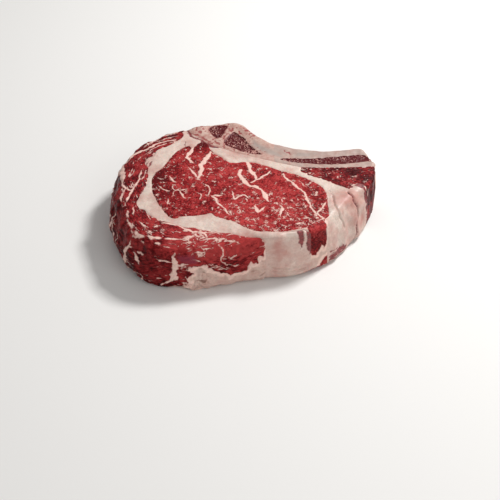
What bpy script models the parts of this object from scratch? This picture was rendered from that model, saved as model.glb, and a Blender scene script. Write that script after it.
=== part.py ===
"""A raw bone-in ribeye steak, lying flat on one of its two cut faces.

A steak is a slab cut across the rib, so every muscle, fat seam and bone in it runs through
its whole thickness. Each sub-part here is therefore a region of one plan, drawn as seen from
above. One mapping then gives the slab its real form: the rounded rim, the bulging side, the
foot that spreads on the table and the slightly uneven cut face. Regions that share a seam
read the same curve, so their solids meet face to face with a thin gap.

The tables are in millimetres, +X along the steak, +Y towards the rib and +Z up.
"""

import math
from collections import namedtuple

import bmesh
import bpy
import numpy as np
from mathutils.geometry import delaunay_2d_cdt

# Driving sizes
THICKNESS = 38.0
SEAM_GAP = 0.34
FOOT_RADIUS = 4.5
FOOT_RISE = 3.4
SIDE_REACH = 12.0
MM = 0.001

# Mesh fineness
FINE_STEP = 1.0
WALL_STEP = 4.2
GRID_STEP = 9.0
LEVELS = (0.0, 0.2, 0.5, 0.8, 1.0)
RIM_BLEND = 6.0

# How the side is shaped along one stretch of the outline: the radius and the drop of the
# rounded rim, how far the foot reaches out at the table, and the bulge at half height.
Rim = namedtuple("Rim", "radius drop foot bulge")
Stretch = namedtuple("Stretch", "start rim points")

# The outline, counter-clockwise from the back. Each stretch starts at a named corner of the
# plan, where a seam between two sub-parts reaches the side or the side changes its shape.
OUTLINE = (
    Stretch("cap_back", Rim(5.0, 3.5, -2.0, 2.0), [
        (-50.4, 69.8), (-56.2, 67.0), (-62.6, 62.8), (-70.8, 57.4), (-78, 51.4),
        (-84.2, 45.6)]),
    Stretch("cap_left", Rim(9.0, 7.5, 0.5, 4.5), [
        (-89.6, 39.2), (-94, 30.5), (-96.6, 20.2), (-98, 10), (-98.8, 0), (-98.6, -12),
        (-96.8, -25)]),
    Stretch("cap_shoulder", Rim(13.0, 9.0, 1.6, 3.5), [
        (-94.0, -37.4), (-90.0, -49), (-84.2, -60), (-77.0, -69.4)]),
    Stretch("cap_front", Rim(20.0, 7.5, 0.9, 1.2), [
        (-68.0, -75.8), (-58, -79.0), (-46, -80.2), (-37, -80.4)]),
    Stretch("cap_lobe", Rim(13.0, 10.0, 2.5, 1.5), [
        (-30, -79.4), (-20, -77.0), (-8, -73.8), (3, -71.0)]),
    Stretch("fat_front", Rim(4.0, 3.0, 4.6, 0.8), [
        (14.0, -68.4), (20, -67.2), (28, -65.8), (37, -63.6)]),
    Stretch("eye_corner", Rim(3.5, 2.8, 1.0, 0.5), [(47.0, -60.2), (53, -57.2)]),
    Stretch("fat_corner", Rim(5.5, 4.5, 4.4, 1.2), [
        (58.2, -53.4), (62, -48.5), (67.5, -41), (74, -32), (80.5, -23), (86, -15.8)]),
    Stretch("rib_end", Rim(3.5, 2.8, 1.0, 0.8), [
        (90.6, -9.0), (94.5, -1.5), (97.2, 5.5), (98.9, 12.5)]),
    Stretch("bone_end", Rim(1.6, 1.2, -0.6, 0.4), [(99.3, 18.4)]),
    Stretch("marrow_low", Rim(1.6, 1.2, -0.6, 0.4), [(98.4, 24.6)]),
    Stretch("marrow_high", Rim(1.6, 1.2, -0.6, 0.4), [(95.5, 30.0), (92.8, 35.2)]),
    Stretch("bone_back", Rim(2.4, 1.8, -1.6, 0.8), [
        (90.2, 39.2), (87, 39.9), (80, 38.9), (70, 37.6), (60, 37.4), (50, 38.6), (40, 40.4),
        (33, 42.6), (26, 45.0), (20, 47.4), (15, 51.5), (10, 56.4), (5, 62.6), (1, 68.4),
        (-3, 73.2), (-8, 76.3), (-14, 77.3), (-21, 76.1), (-28, 74.4), (-35, 72.3),
        (-41, 70.9)]),
    Stretch("fat_back", Rim(2.4, 1.8, -1.6, 0.8), [(-46.8, 69.6)]),
)

# Where the rib, its lean and the fat meet inside the steak.
RIB_ROOT = (41.5, 17.4)

# The seams, each from its first named corner to its second.
SEAMS = {
    # inner edge of the cap muscle, against the kernel of fat
    "cap": ("cap_back", "fat_front", [
        (-50.2, 62), (-50.8, 56.5), (-54.5, 52.6), (-58, 48.6), (-61.5, 45), (-65.5, 42),
        (-69.6, 39.6), (-70.6, 35), (-72.5, 31), (-77, 27.6), (-77.2, 22), (-75.2, 16.5),
        (-74.4, 10), (-74.2, 2), (-75.2, -6), (-77.2, -14), (-79.4, -21.5), (-80.6, -28),
        (-78.2, -32.4), (-74.2, -36), (-71.6, -41), (-68, -44.8), (-62, -47.6),
        (-56, -51), (-49, -53.8), (-43.4, -56.2), (-38, -56.6), (-32, -58.8), (-25, -61),
        (-17, -62.4), (-9, -64.0), (-1, -65.6), (6, -66.2), (11, -66.9)]),
    # round the eye muscle
    "eye": ("fat_corner", "eye_corner", [
        (60.2, -47.5), (60.8, -38), (60.4, -24), (59.8, -14.6), (57.6, -9.6), (54, -5),
        (49.6, -0.6), (44.6, 3.4), (39, 6.6), (32, 10), (25, 13), (18, 16.8), (11, 20.4),
        (4.5, 22.8), (-2, 23.8), (-7.5, 22.6), (-12, 23.4), (-16, 26.8), (-20.4, 31.4),
        (-24.6, 36), (-27.8, 41), (-29.4, 46), (-31.4, 50), (-34.4, 50.8), (-37.8, 48.6),
        (-40.2, 44.6), (-42, 43.2), (-44.4, 45.2), (-48, 44), (-51.6, 40.4), (-55, 36.2),
        (-57.8, 31), (-60, 25), (-62.4, 19.6), (-65, 14), (-68.6, 10), (-70.4, 5),
        (-71, -2), (-70.2, -10), (-68.4, -18), (-65.4, -26), (-62.2, -33.4), (-58.6, -40.4),
        (-55.4, -44.6), (-51.8, -46.4), (-48, -45), (-43, -43.8), (-36, -43.4),
        (-30, -41.8), (-25.2, -41), (-21.4, -44.6), (-16, -47.2), (-10, -49.6),
        (-5.4, -52.2), (-1.4, -55.8), (3, -59), (9, -61), (17, -61.8), (26, -61.8),
        (34, -61.2), (41, -59.6)]),
    # under the vertebra and the rib, against the fat
    "bone": ("fat_back", "rib_root", [
        (-45.4, 66), (-42.8, 62), (-39.4, 58.8), (-35.6, 55), (-32, 51.2), (-28, 47.8),
        (-23, 44.6), (-16, 41.2), (-9, 37.4), (-1, 33), (7, 29.6), (16, 26.2), (25, 23),
        (34, 20)]),
    # under the free rib, against its lean
    "rib": ("rib_root", "bone_end", [
        (50, 17.0), (60, 16.7), (72, 16.9), (86, 17.3), (93, 17.8)]),
    # the lower edge of the rib lean, against the fat
    "rib_lean": ("rib_root", "rib_end", [
        (42.6, 12.2), (46, 8.2), (51, 5), (56.5, 2), (62, -1.8), (67, -5), (72, -7.4),
        (76.4, -9.4), (79.4, -9.6), (80.8, -5.8), (84, -3.2), (87.4, -4.8)]),
    # the marrow that the saw opened along the rib, out to the rib's sawn end
    "marrow": ("marrow_low", "marrow_high", [
        (94.5, 24.3), (90, 23.7), (85, 22.7), (79, 21.6), (71, 20.8), (62, 20.7),
        (54, 21.5), (46, 22.5), (38, 23.6), (31, 25.2), (26.6, 27.4), (30.5, 29.2),
        (38, 29.0), (46, 28.9), (54, 29.2), (62, 30.2), (71, 31.2), (80, 32.2), (88, 33),
        (92, 32.4)]),
}

# Spongy bone that shows in the vertebra, as closed rings, counter-clockwise.
MARROW_KNOB = [
    (-15.0, 72.8), (-17.0, 74.6), (-22.5, 73.8), (-27.6, 72.2), (-29.8, 69), (-28.6, 64),
    (-26.2, 59.6), (-23.2, 56.6), (-20.6, 57.4), (-18.6, 61.2), (-16.6, 66.8)]
MARROW_NECK = [
    (-9.6, 65.4), (-12.2, 62.4), (-14.8, 58), (-17.4, 53), (-17.2, 48.6), (-13.4, 45),
    (-8.2, 41.4), (-3, 37.4), (2.6, 35.2), (8, 33.6), (12.8, 33.8), (10.2, 37), (6.6, 41.6),
    (3.2, 47), (0.8, 52), (-2, 57), (-5.4, 61.6)]

# How far each sub-part stands above or below the plain cut face: the lean swells a little,
# the sawn bone stays proud, and the soft marrow lies back in it.
STEPS = {
    "eye_muscle": 0.4,
    "cap_muscle": 0.2,
    "rib_lean": -0.3,
    "fat": 0.0,
    "rib_bone": 0.5,
    "marrow_rib": -0.7,
    "marrow_neck": -0.9,
    "marrow_knob": -0.5,
}

# Colour and roughness of each sub-part, as the raw steak shows them. None is metallic.
FINISHES = {
    "eye_muscle": ((0.33, 0.045, 0.05), 0.42),
    "cap_muscle": ((0.24, 0.025, 0.035), 0.42),
    "rib_lean": ((0.20, 0.02, 0.03), 0.45),
    "fat": ((0.68, 0.50, 0.43), 0.5),
    "rib_bone": ((0.58, 0.42, 0.37), 0.55),
    "marrow_rib": ((0.13, 0.025, 0.03), 0.6),
    "marrow_neck": ((0.16, 0.04, 0.04), 0.6),
    "marrow_knob": ((0.18, 0.045, 0.045), 0.6),
}


def curve_through(points, closed=False):
    """A finely sampled centripetal Catmull-Rom curve through the points, ends included."""
    pts = np.asarray(points, float)
    if closed:
        pts = np.vstack([pts[-1], pts, pts[:2]])
    else:
        pts = np.vstack([2 * pts[0] - pts[1], pts, 2 * pts[-1] - pts[-2]])
    knots = np.concatenate([[0], np.cumsum(np.linalg.norm(np.diff(pts, axis=0), axis=1) ** 0.5)])
    pieces = []
    for i in range(1, len(pts) - 2):
        t0, t1, t2, t3 = knots[i - 1:i + 3]
        count = max(2, int(np.linalg.norm(pts[i + 1] - pts[i]) / (0.3 * FINE_STEP)))
        t = np.linspace(t1, t2, count, endpoint=False)[:, None]
        a1 = ((t1 - t) * pts[i - 1] + (t - t0) * pts[i]) / (t1 - t0)
        a2 = ((t2 - t) * pts[i] + (t - t1) * pts[i + 1]) / (t2 - t1)
        a3 = ((t3 - t) * pts[i + 1] + (t - t2) * pts[i + 2]) / (t3 - t2)
        b1 = ((t2 - t) * a1 + (t - t0) * a2) / (t2 - t0)
        b2 = ((t3 - t) * a2 + (t - t1) * a3) / (t3 - t1)
        pieces.append(((t2 - t) * b1 + (t - t1) * b2) / (t2 - t1))
    pieces.append(pts[-2:-1])
    return np.vstack(pieces)


def evenly_spaced(path, step):
    """Points an equal length apart, about one step, along a finely sampled path."""
    run = np.concatenate([[0], np.cumsum(np.linalg.norm(np.diff(path, axis=0), axis=1))])
    marks = np.linspace(0, run[-1], max(2, round(run[-1] / step)) + 1)
    return np.column_stack([np.interp(marks, run, path[:, k]) for k in (0, 1)])


def left_normals(loop):
    """The unit normal at each point of a closed loop, on the left of its direction."""
    along = np.roll(loop, -1, axis=0) - np.roll(loop, 1, axis=0)
    along /= np.linalg.norm(along, axis=1)[:, None]
    return np.column_stack([-along[:, 1], along[:, 0]])


def inset(loop, distance):
    """The loop with each side moved in by the distance, corners mitred."""
    ahead = np.roll(loop, -1, axis=0) - loop
    ahead /= np.linalg.norm(ahead, axis=1)[:, None]
    normal = np.column_stack([-ahead[:, 1], ahead[:, 0]])
    before = np.roll(normal, 1, axis=0)
    share = np.maximum(1 + (normal * before).sum(axis=1), 0.35)
    return loop + distance * (normal + before) / share[:, None]


def inside(points, loops):
    """True for each point that an odd number of the loops surrounds."""
    odd = np.zeros(len(points), bool)
    x, y = points[:, :1], points[:, 1:]
    for loop in loops:
        a, b = loop, np.roll(loop, -1, axis=0)
        spans = (a[:, 1] > y) != (b[:, 1] > y)
        rise = np.where(b[:, 1] == a[:, 1], 1.0, b[:, 1] - a[:, 1])
        crossing = a[:, 0] + (y - a[:, 1]) * (b[:, 0] - a[:, 0]) / rise
        odd ^= (np.sum(spans & (x < crossing), axis=1) % 2).astype(bool)
    return odd


def nearest_on(points, loop):
    """For each point its distance to the loop, and where on the loop that is, as an index."""
    a, span = loop, np.roll(loop, -1, axis=0) - loop
    to_point = points[:, None, :] - a[None]
    share = np.clip((to_point * span).sum(axis=2) / (span ** 2).sum(axis=1), 0, 1)
    gap = np.linalg.norm(to_point - share[..., None] * span, axis=2)
    best = gap.argmin(axis=1)
    row = np.arange(len(points))
    return gap[row, best], best + share[row, best]


class Slab:
    """The steak as a whole: its outline and the mapping from the plan to its real form."""

    def __init__(self):
        points = [p for stretch in OUTLINE for p in stretch.points]
        starts = np.cumsum([0] + [len(stretch.points) for stretch in OUTLINE])
        whole = curve_through(points, closed=True)
        corners = [np.linalg.norm(whole - points[i], axis=1).argmin() for i in starts[1:-1]]
        corners = [0, *corners, len(whole) - 1]
        self.sides, rims = {}, []
        for stretch, first, last in zip(OUTLINE, corners, corners[1:]):
            side = evenly_spaced(whole[first:last + 1], FINE_STEP)
            self.sides[stretch.start] = side
            rims += [stretch.rim] * (len(side) - 1)
        self.loop = np.vstack([side[:-1] for side in self.sides.values()])
        self.out = -left_normals(self.loop)
        self.rims = self._blended(np.array(rims, float))

    def _blended(self, rims):
        """The rim sizes, eased from one stretch of the outline to the next."""
        reach = np.arange(len(rims))
        away = np.minimum(reach, len(rims) - reach) * FINE_STEP
        weight = np.exp(-0.5 * (away / RIM_BLEND) ** 2)
        spectrum = np.fft.fft(weight / weight.sum())[:, None]
        return np.fft.ifft(np.fft.fft(rims, axis=0) * spectrum, axis=0).real

    def corner(self, name):
        """A named corner of the plan."""
        return np.array(RIB_ROOT) if name == "rib_root" else self.sides[name][0]

    def side(self, first, last):
        """The outline from one named corner to another, a wall step between its points."""
        names = [stretch.start for stretch in OUTLINE]
        i, j = names.index(first), names.index(last)
        chosen = names[i:j] if i < j else names[i:] + names[:j]
        pieces = [evenly_spaced(self.sides[name], WALL_STEP)[:-1] for name in chosen]
        return np.vstack(pieces + [self.corner(last)[None]])

    def ring(self, share):
        """Plan points on a ring inside the outline, at a share of the rim radius."""
        marks = np.arange(0, len(self.loop), WALL_STEP / FINE_STEP).astype(int)
        inward = share * np.maximum(self.rims[marks, 0], FOOT_RADIUS)
        return self.loop[marks] - self.out[marks] * inward[:, None]

    def place(self, plan, level):
        """Plan points at one level of the slab, 0 at the table and 1 at the cut face."""
        gap, where = nearest_on(plan, self.loop)
        low = np.floor(where).astype(int) % len(self.loop)
        high, part = (low + 1) % len(self.loop), (where % 1)[:, None]
        radius, drop, foot, bulge = (self.rims[low] * (1 - part) + self.rims[high] * part).T
        out = self.out[low] * (1 - part) + self.out[high] * part
        shift = foot * (1 - level) ** 1.5 + bulge * 4 * level * (1 - level)
        shift = shift + lumps(plan, level) * np.minimum(bulge, 2.4) / 2.4
        shift = shift * np.clip(1 - gap / SIDE_REACH, 0, 1) ** 2
        drift = (1 - level) * np.clip(gap / SIDE_REACH - 0.4, 0, 1)
        x = plan[:, 0] + out[:, 0] * shift + drift * 3.0 * np.sin(plan[:, 1] / 34 + 0.6)
        y = plan[:, 1] + out[:, 1] * shift - drift * 2.4 * np.sin(plan[:, 0] / 41 - 0.4)
        top = cut_face(plan) - drop * quarter_round(gap, radius)
        bottom = FOOT_RISE * quarter_round(gap, FOOT_RADIUS)
        return np.column_stack([x, y, bottom + (top - bottom) * level])


def quarter_round(gap, radius):
    """How far a rounded edge has fallen this far in from it: 1 at the edge, 0 past its radius."""
    return 1 - np.sqrt(1 - np.clip(1 - gap / radius, 0, 1) ** 2)


def cut_face(plan):
    """The height of the cut face: crowned over the eye, lower to the left, gently uneven."""
    x, y = plan[:, 0], plan[:, 1]
    crown = 0.9 * np.exp(-((x + 2) / 55) ** 2 - ((y + 18) / 34) ** 2)
    sag = 1.6 * np.clip((-62 - x) / 34, 0, 1) ** 2
    waves = 0.35 * np.sin(x / 12.5 + 0.8) * np.sin(y / 15.5 - 0.5)
    return THICKNESS - 0.6 + crown - sag + waves


def lumps(plan, level):
    """How far the soft side swells or falls back here, past its plain bulge."""
    x, y = plan[:, 0], plan[:, 1]
    low = np.sin(x / 7.5 + 2.6 * level) * np.sin(y / 8.5 - 1.8 * level)
    return 0.9 * low + 0.5 * np.sin(x / 4.1 - y / 5.2 + 3.4 * level)


def seam(slab, name):
    """One seam's curve, from its first named corner to its second."""
    first, last, points = SEAMS[name]
    whole = curve_through([slab.corner(first), *points, slab.corner(last)])
    return evenly_spaced(whole, WALL_STEP)


def joined(*arcs):
    """A closed loop from arcs that run end to end."""
    return np.vstack([arc[:-1] for arc in arcs])


def regions(slab):
    """The plan of each sub-part: its outer loop, and any loops round a hole in it."""
    line = {name: seam(slab, name) for name in SEAMS}
    back = {name: arc[::-1] for name, arc in line.items()}
    knob, neck = (
        evenly_spaced(curve_through(ring, closed=True), 0.8 * WALL_STEP)[:-1]
        for ring in (MARROW_KNOB, MARROW_NECK)
    )
    return {
        "cap_muscle": [joined(slab.side("cap_back", "fat_front"), back["cap"])],
        "eye_muscle": [joined(slab.side("eye_corner", "fat_corner"), line["eye"])],
        "fat": [joined(
            slab.side("fat_back", "cap_back"), line["cap"],
            slab.side("fat_front", "eye_corner"), back["eye"],
            slab.side("fat_corner", "rib_end"), back["rib_lean"], back["bone"])],
        "rib_lean": [joined(slab.side("rib_end", "bone_end"), back["rib"], line["rib_lean"])],
        "rib_bone": [
            joined(
                slab.side("bone_end", "marrow_low"), line["marrow"],
                slab.side("marrow_high", "fat_back"), line["bone"], line["rib"]),
            knob[::-1], neck[::-1]],
        "marrow_rib": [joined(slab.side("marrow_low", "marrow_high"), back["marrow"])],
        "marrow_knob": [knob],
        "marrow_neck": [neck],
    }


def inner_points(slab, loops):
    """Plan points inside a region: rings along the rounded rim, then an even grid."""
    low, high = loops[0].min(axis=0), loops[0].max(axis=0)
    rows = np.arange(low[1], high[1], GRID_STEP * math.sqrt(0.75))
    grid = np.array([
        (x + 0.5 * GRID_STEP * (k % 2), y)
        for k, y in enumerate(rows)
        for x in np.arange(low[0], high[0], GRID_STEP)])
    kept = np.empty((0, 2))
    for points, clear in (
        (slab.ring(1.0), 0.45 * WALL_STEP),
        (slab.ring(0.35), 0.33 * WALL_STEP),
        (grid, 0.5 * GRID_STEP),
    ):
        points = points[inside(points, loops)]
        for loop in loops:
            points = points[nearest_on(points, loop)[0] > clear]
        for point in points:
            if np.all(np.linalg.norm(kept - point, axis=1) > clear):
                kept = np.vstack([kept, point])
    return kept


def triangles(points, loops):
    """The region's triangles, as rows of three indices, with every loop edge kept."""
    edges, start = [], 0
    for loop in loops:
        edges += [(start + i, start + (i + 1) % len(loop)) for i in range(len(loop))]
        start += len(loop)
    found, _, faces, *_ = delaunay_2d_cdt([tuple(p) for p in points], edges, [], 0, 1e-6)
    if len(found) != len(points):
        raise ValueError("a seam crosses another, or two of its points coincide")
    faces = np.array([face for face in faces if len(face) == 3])
    return faces[inside(points[faces].mean(axis=1), loops)]


def solid(slab, loops, step):
    """A closed solid over a region, its top a step off the cut face, as points and faces."""
    loops = [inset(loop, SEAM_GAP / 2) for loop in loops]
    points = np.vstack([*loops, inner_points(slab, loops)])
    caps = triangles(points, loops)
    edge = sum(len(loop) for loop in loops)
    layers = [slab.place(points, LEVELS[0])]
    layers += [slab.place(points[:edge], level) for level in LEVELS[1:-1]]
    layers.append(slab.place(points, LEVELS[-1]) + np.array([0.0, 0.0, step]))
    starts = np.cumsum([0] + [len(layer) for layer in layers])
    faces = [tuple(face[::-1]) for face in caps]
    faces += [tuple(face + starts[-2]) for face in caps]
    first = 0
    for loop in loops:
        for i in range(len(loop)):
            here, ahead = first + i, first + (i + 1) % len(loop)
            for low, high in zip(starts[:-2], starts[1:-1]):
                faces.append((here + low, ahead + low, ahead + high, here + high))
        first += len(loop)
    return np.vstack(layers), faces


def material(name):
    """A plain material with the sub-part's own colour and roughness."""
    colour, roughness = FINISHES[name]
    made = bpy.data.materials.new(name)
    made.use_nodes = True
    shader = made.node_tree.nodes["Principled BSDF"]
    shader.inputs["Base Color"].default_value = (*colour, 1.0)
    shader.inputs["Roughness"].default_value = roughness
    shader.inputs["Metallic"].default_value = 0.0
    return made


def add_object(name, points, faces):
    """One sub-part as an object, its flat seams sharp and its outside smooth."""
    mesh = bpy.data.meshes.new(name)
    mesh.from_pydata([tuple(p) for p in points], [], [tuple(map(int, f)) for f in faces])
    shell = bmesh.new()
    shell.from_mesh(mesh)
    bmesh.ops.triangulate(shell, faces=shell.faces)
    bmesh.ops.recalc_face_normals(shell, faces=shell.faces)
    shell.to_mesh(mesh)
    shell.free()
    mesh.shade_smooth()
    mesh.set_sharp_from_angle(angle=math.radians(50))
    mesh.materials.append(material(name))
    obj = bpy.data.objects.new(name, mesh)
    bpy.context.scene.collection.objects.link(obj)
    return obj


def main():
    for obj in list(bpy.data.objects):
        bpy.data.objects.remove(obj)
    slab = Slab()
    solids = {
        name: solid(slab, loops, STEPS[name]) for name, loops in regions(slab).items()}
    every = np.vstack([points for points, _ in solids.values()])
    centre = (every.min(axis=0) + every.max(axis=0)) / 2
    centre[2] = every[:, 2].min()
    for name, (points, faces) in solids.items():
        add_object(name, (points - centre) * MM, faces)


main()
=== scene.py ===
"""Visual model of a raw bone-in ribeye steak that lies on one of its two cut faces.

The steak is one slab. Its muscles, fat and bone are regions of one plan, drawn as seen from
above in millimetres, with +X along the steak and +Y towards the rib. Slab carries the plan
over to the slab's real form, and the same form gives each piece its fine surface here.
"""

import itertools
import logging
import math
from dataclasses import dataclass
from enum import Enum
from typing import NamedTuple

import bpy
import numpy as np
from mathutils.geometry import delaunay_2d_cdt
from mathutils.kdtree import KDTree
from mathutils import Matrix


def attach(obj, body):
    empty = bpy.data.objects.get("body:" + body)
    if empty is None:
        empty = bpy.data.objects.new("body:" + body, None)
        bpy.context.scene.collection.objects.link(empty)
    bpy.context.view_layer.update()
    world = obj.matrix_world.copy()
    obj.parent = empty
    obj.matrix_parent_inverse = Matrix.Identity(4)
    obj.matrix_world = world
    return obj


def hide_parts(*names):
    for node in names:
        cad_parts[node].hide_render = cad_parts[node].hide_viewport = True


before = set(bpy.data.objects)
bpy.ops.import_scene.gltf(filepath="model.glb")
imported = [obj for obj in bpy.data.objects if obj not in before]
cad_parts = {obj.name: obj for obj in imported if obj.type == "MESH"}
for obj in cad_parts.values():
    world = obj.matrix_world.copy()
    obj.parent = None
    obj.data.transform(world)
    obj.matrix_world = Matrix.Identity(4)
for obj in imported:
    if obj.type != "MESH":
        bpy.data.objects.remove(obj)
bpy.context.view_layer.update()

log = logging.getLogger("steak")

Path = list[tuple[float, float]]

# The slab's sizes. All sizes are in millimetres, and MM turns them to metres.
MM = 0.001
THICKNESS = 38.0
FOOT_RADIUS = 4.5
FOOT_RISE = 3.4
SIDE_REACH = 12.0
RIM_BLEND = 6.0
LOOP_STEP = 1.0
# The plan's point that stands at the origin.
CENTRE = (-1.56, -2.40)

# How fine the meshes are: along the edges, over both faces, and up the side.
EDGE_STEP = 0.62
TOP_STEP = 0.62
UNDER_STEP = 1.3
MARROW_STEP = 0.42
ROWS = 46
# The share of a step that every point of a face keeps from the edges, and the share of its
# distance to the outline that a point of the rim keeps.
SEAM_CLEAR = 0.45
RIM_CLEAR = 0.6
# How far apart the rings of points over the rounded rim are, in degrees of its quarter circle.
RIM_TURN = 9
# The share of the rim's width from which an even grid of points takes over.
GRID_START = 0.86
# Edges sharper than this, in degrees, stay sharp.
SHARP = 62

# About a full turn, in radians.
FULL_TURN = 6.28

# The depth that a mark has well outside the fat, lean or stain that it tells of.
OUTSIDE = -4.0
# How far apart the points on a vein's or crease's line are.
LINE_STEP = 1.5


class Rim(NamedTuple):
    """How the side is shaped along one stretch of the outline, in millimetres."""

    radius: float
    drop: float
    foot: float
    bulge: float


class Stretch(NamedTuple):
    """One stretch of the outline, from its named corner on."""

    start: str
    rim: Rim
    points: Path


class Vein(NamedTuple):
    """A line of fat or lean and its width in millimetres."""

    width: float
    points: Path


# The steak's outline at the cut face, in the plan, counter-clockwise from the back left.
OUTLINE = (
    Stretch("cap_back", Rim(5.0, 3.5, -2.0, 2.0), [
        (-50.4, 69.8), (-56.2, 67.0), (-62.6, 62.8), (-70.8, 57.4), (-78, 51.4),
        (-84.2, 45.6)]),
    Stretch("cap_left", Rim(9.0, 7.5, 0.5, 4.5), [
        (-89.6, 39.2), (-94, 30.5), (-96.6, 20.2), (-98, 10), (-98.8, 0), (-98.6, -12),
        (-96.8, -25)]),
    Stretch("cap_shoulder", Rim(13.0, 9.0, 1.6, 3.5), [
        (-94.0, -37.4), (-90.0, -49), (-84.2, -60), (-77.0, -69.4)]),
    Stretch("cap_front", Rim(20.0, 7.5, 0.9, 1.2), [
        (-68.0, -75.8), (-58, -79.0), (-46, -80.2), (-37, -80.4)]),
    Stretch("cap_lobe", Rim(13.0, 10.0, 2.5, 1.5), [
        (-30, -79.4), (-20, -77.0), (-8, -73.8), (3, -71.0)]),
    Stretch("fat_front", Rim(4.0, 3.0, 4.6, 0.8), [
        (14.0, -68.4), (20, -67.2), (28, -65.8), (37, -63.6)]),
    Stretch("eye_corner", Rim(3.5, 2.8, 1.0, 0.5), [(47.0, -60.2), (53, -57.2)]),
    Stretch("fat_corner", Rim(5.5, 4.5, 4.4, 1.2), [
        (58.2, -53.4), (62, -48.5), (67.5, -41), (74, -32), (80.5, -23), (86, -15.8)]),
    Stretch("rib_end", Rim(3.5, 2.8, 1.0, 0.8), [
        (90.6, -9.0), (94.5, -1.5), (97.2, 5.5), (98.9, 12.5)]),
    Stretch("bone_end", Rim(1.6, 1.2, -0.6, 0.4), [(99.3, 18.4)]),
    Stretch("marrow_low", Rim(1.6, 1.2, -0.6, 0.4), [(98.4, 24.6)]),
    Stretch("marrow_high", Rim(1.6, 1.2, -0.6, 0.4), [(95.5, 30.0), (92.8, 35.2)]),
    Stretch("bone_back", Rim(2.4, 1.8, -1.6, 0.8), [
        (90.2, 39.2), (87, 39.9), (80, 38.9), (70, 37.6), (60, 37.4), (50, 38.6), (40, 40.4),
        (33, 42.6), (26, 45.0), (20, 47.4), (15, 51.5), (10, 56.4), (5, 62.6), (1, 68.4),
        (-3, 73.2), (-8, 76.3), (-14, 77.3), (-21, 76.1), (-28, 74.4), (-35, 72.3),
        (-41, 70.9)]),
    Stretch("fat_back", Rim(2.4, 1.8, -1.6, 0.8), [(-46.8, 69.6)]),
)

# Where the band of fat, the bone and the lean between the ribs meet.
RIB_ROOT = (41.5, 17.4)

# The lines where two regions meet, each from one named corner to another.
SEAMS = {
    "cap": ("cap_back", "fat_front", [
        (-50.2, 62), (-50.8, 56.5), (-54.5, 52.6), (-58, 48.6), (-61.5, 45), (-65.5, 42),
        (-69.6, 39.6), (-70.6, 35), (-72.5, 31), (-77, 27.6), (-77.2, 22), (-75.2, 16.5),
        (-74.4, 10), (-74.2, 2), (-75.2, -6), (-77.2, -14), (-79.4, -21.5), (-80.6, -28),
        (-78.2, -32.4), (-74.2, -36), (-71.6, -41), (-68, -44.8), (-62, -47.6),
        (-56, -51), (-49, -53.8), (-43.4, -56.2), (-38, -56.6), (-32, -58.8), (-25, -61),
        (-17, -62.4), (-9, -64.0), (-1, -65.6), (6, -66.2), (11, -66.9)]),
    "eye": ("fat_corner", "eye_corner", [
        (60.2, -47.5), (60.8, -38), (60.4, -24), (59.8, -14.6), (57.6, -9.6), (54, -5),
        (49.6, -0.6), (44.6, 3.4), (39, 6.6), (32, 10), (25, 13), (18, 16.8), (11, 20.4),
        (4.5, 22.8), (-2, 23.8), (-7.5, 22.6), (-12, 23.4), (-16, 26.8), (-20.4, 31.4),
        (-24.6, 36), (-27.8, 41), (-29.4, 46), (-31.4, 50), (-34.4, 50.8), (-37.8, 48.6),
        (-40.2, 44.6), (-42, 43.2), (-44.4, 45.2), (-48, 44), (-51.6, 40.4), (-55, 36.2),
        (-57.8, 31), (-60, 25), (-62.4, 19.6), (-65, 14), (-68.6, 10), (-70.4, 5),
        (-71, -2), (-70.2, -10), (-68.4, -18), (-65.4, -26), (-62.2, -33.4), (-58.6, -40.4),
        (-55.4, -44.6), (-51.8, -46.4), (-48, -45), (-43, -43.8), (-36, -43.4),
        (-30, -41.8), (-25.2, -41), (-21.4, -44.6), (-16, -47.2), (-10, -49.6),
        (-5.4, -52.2), (-1.4, -55.8), (3, -59), (9, -61), (17, -61.8), (26, -61.8),
        (34, -61.2), (41, -59.6)]),
    "bone": ("fat_back", "rib_root", [
        (-45.4, 66), (-42.8, 62), (-39.4, 58.8), (-35.6, 55), (-32, 51.2), (-28, 47.8),
        (-23, 44.6), (-16, 41.2), (-9, 37.4), (-1, 33), (7, 29.6), (16, 26.2), (25, 23),
        (34, 20)]),
    "rib": ("rib_root", "bone_end", [
        (50, 17.0), (60, 16.7), (72, 16.9), (86, 17.3), (93, 17.8)]),
    "rib_lean": ("rib_root", "rib_end", [
        (42.6, 12.2), (46, 8.2), (51, 5), (56.5, 2), (62, -1.8), (67, -5), (72, -7.4),
        (76.4, -9.4), (79.4, -9.6), (80.8, -5.8), (84, -3.2), (87.4, -4.8)]),
    "marrow": ("marrow_low", "marrow_high", [
        (94.5, 24.3), (90, 23.7), (85, 22.7), (79, 21.6), (71, 20.8), (62, 20.7),
        (54, 21.5), (46, 22.5), (38, 23.6), (31, 25.2), (26.6, 27.4), (30.5, 29.2),
        (38, 29.0), (46, 28.9), (54, 29.2), (62, 30.2), (71, 31.2), (80, 32.2), (88, 33),
        (92, 32.4)]),
}

# How far the real seam strays from its plain curve, in millimetres.
RAGGED = {"cap": 0.75, "eye": 0.5, "bone": 0.3, "rib": 0.3, "rib_lean": 0.7, "marrow": 0.5,
          "knob": 0.7, "neck": 0.7}

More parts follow.
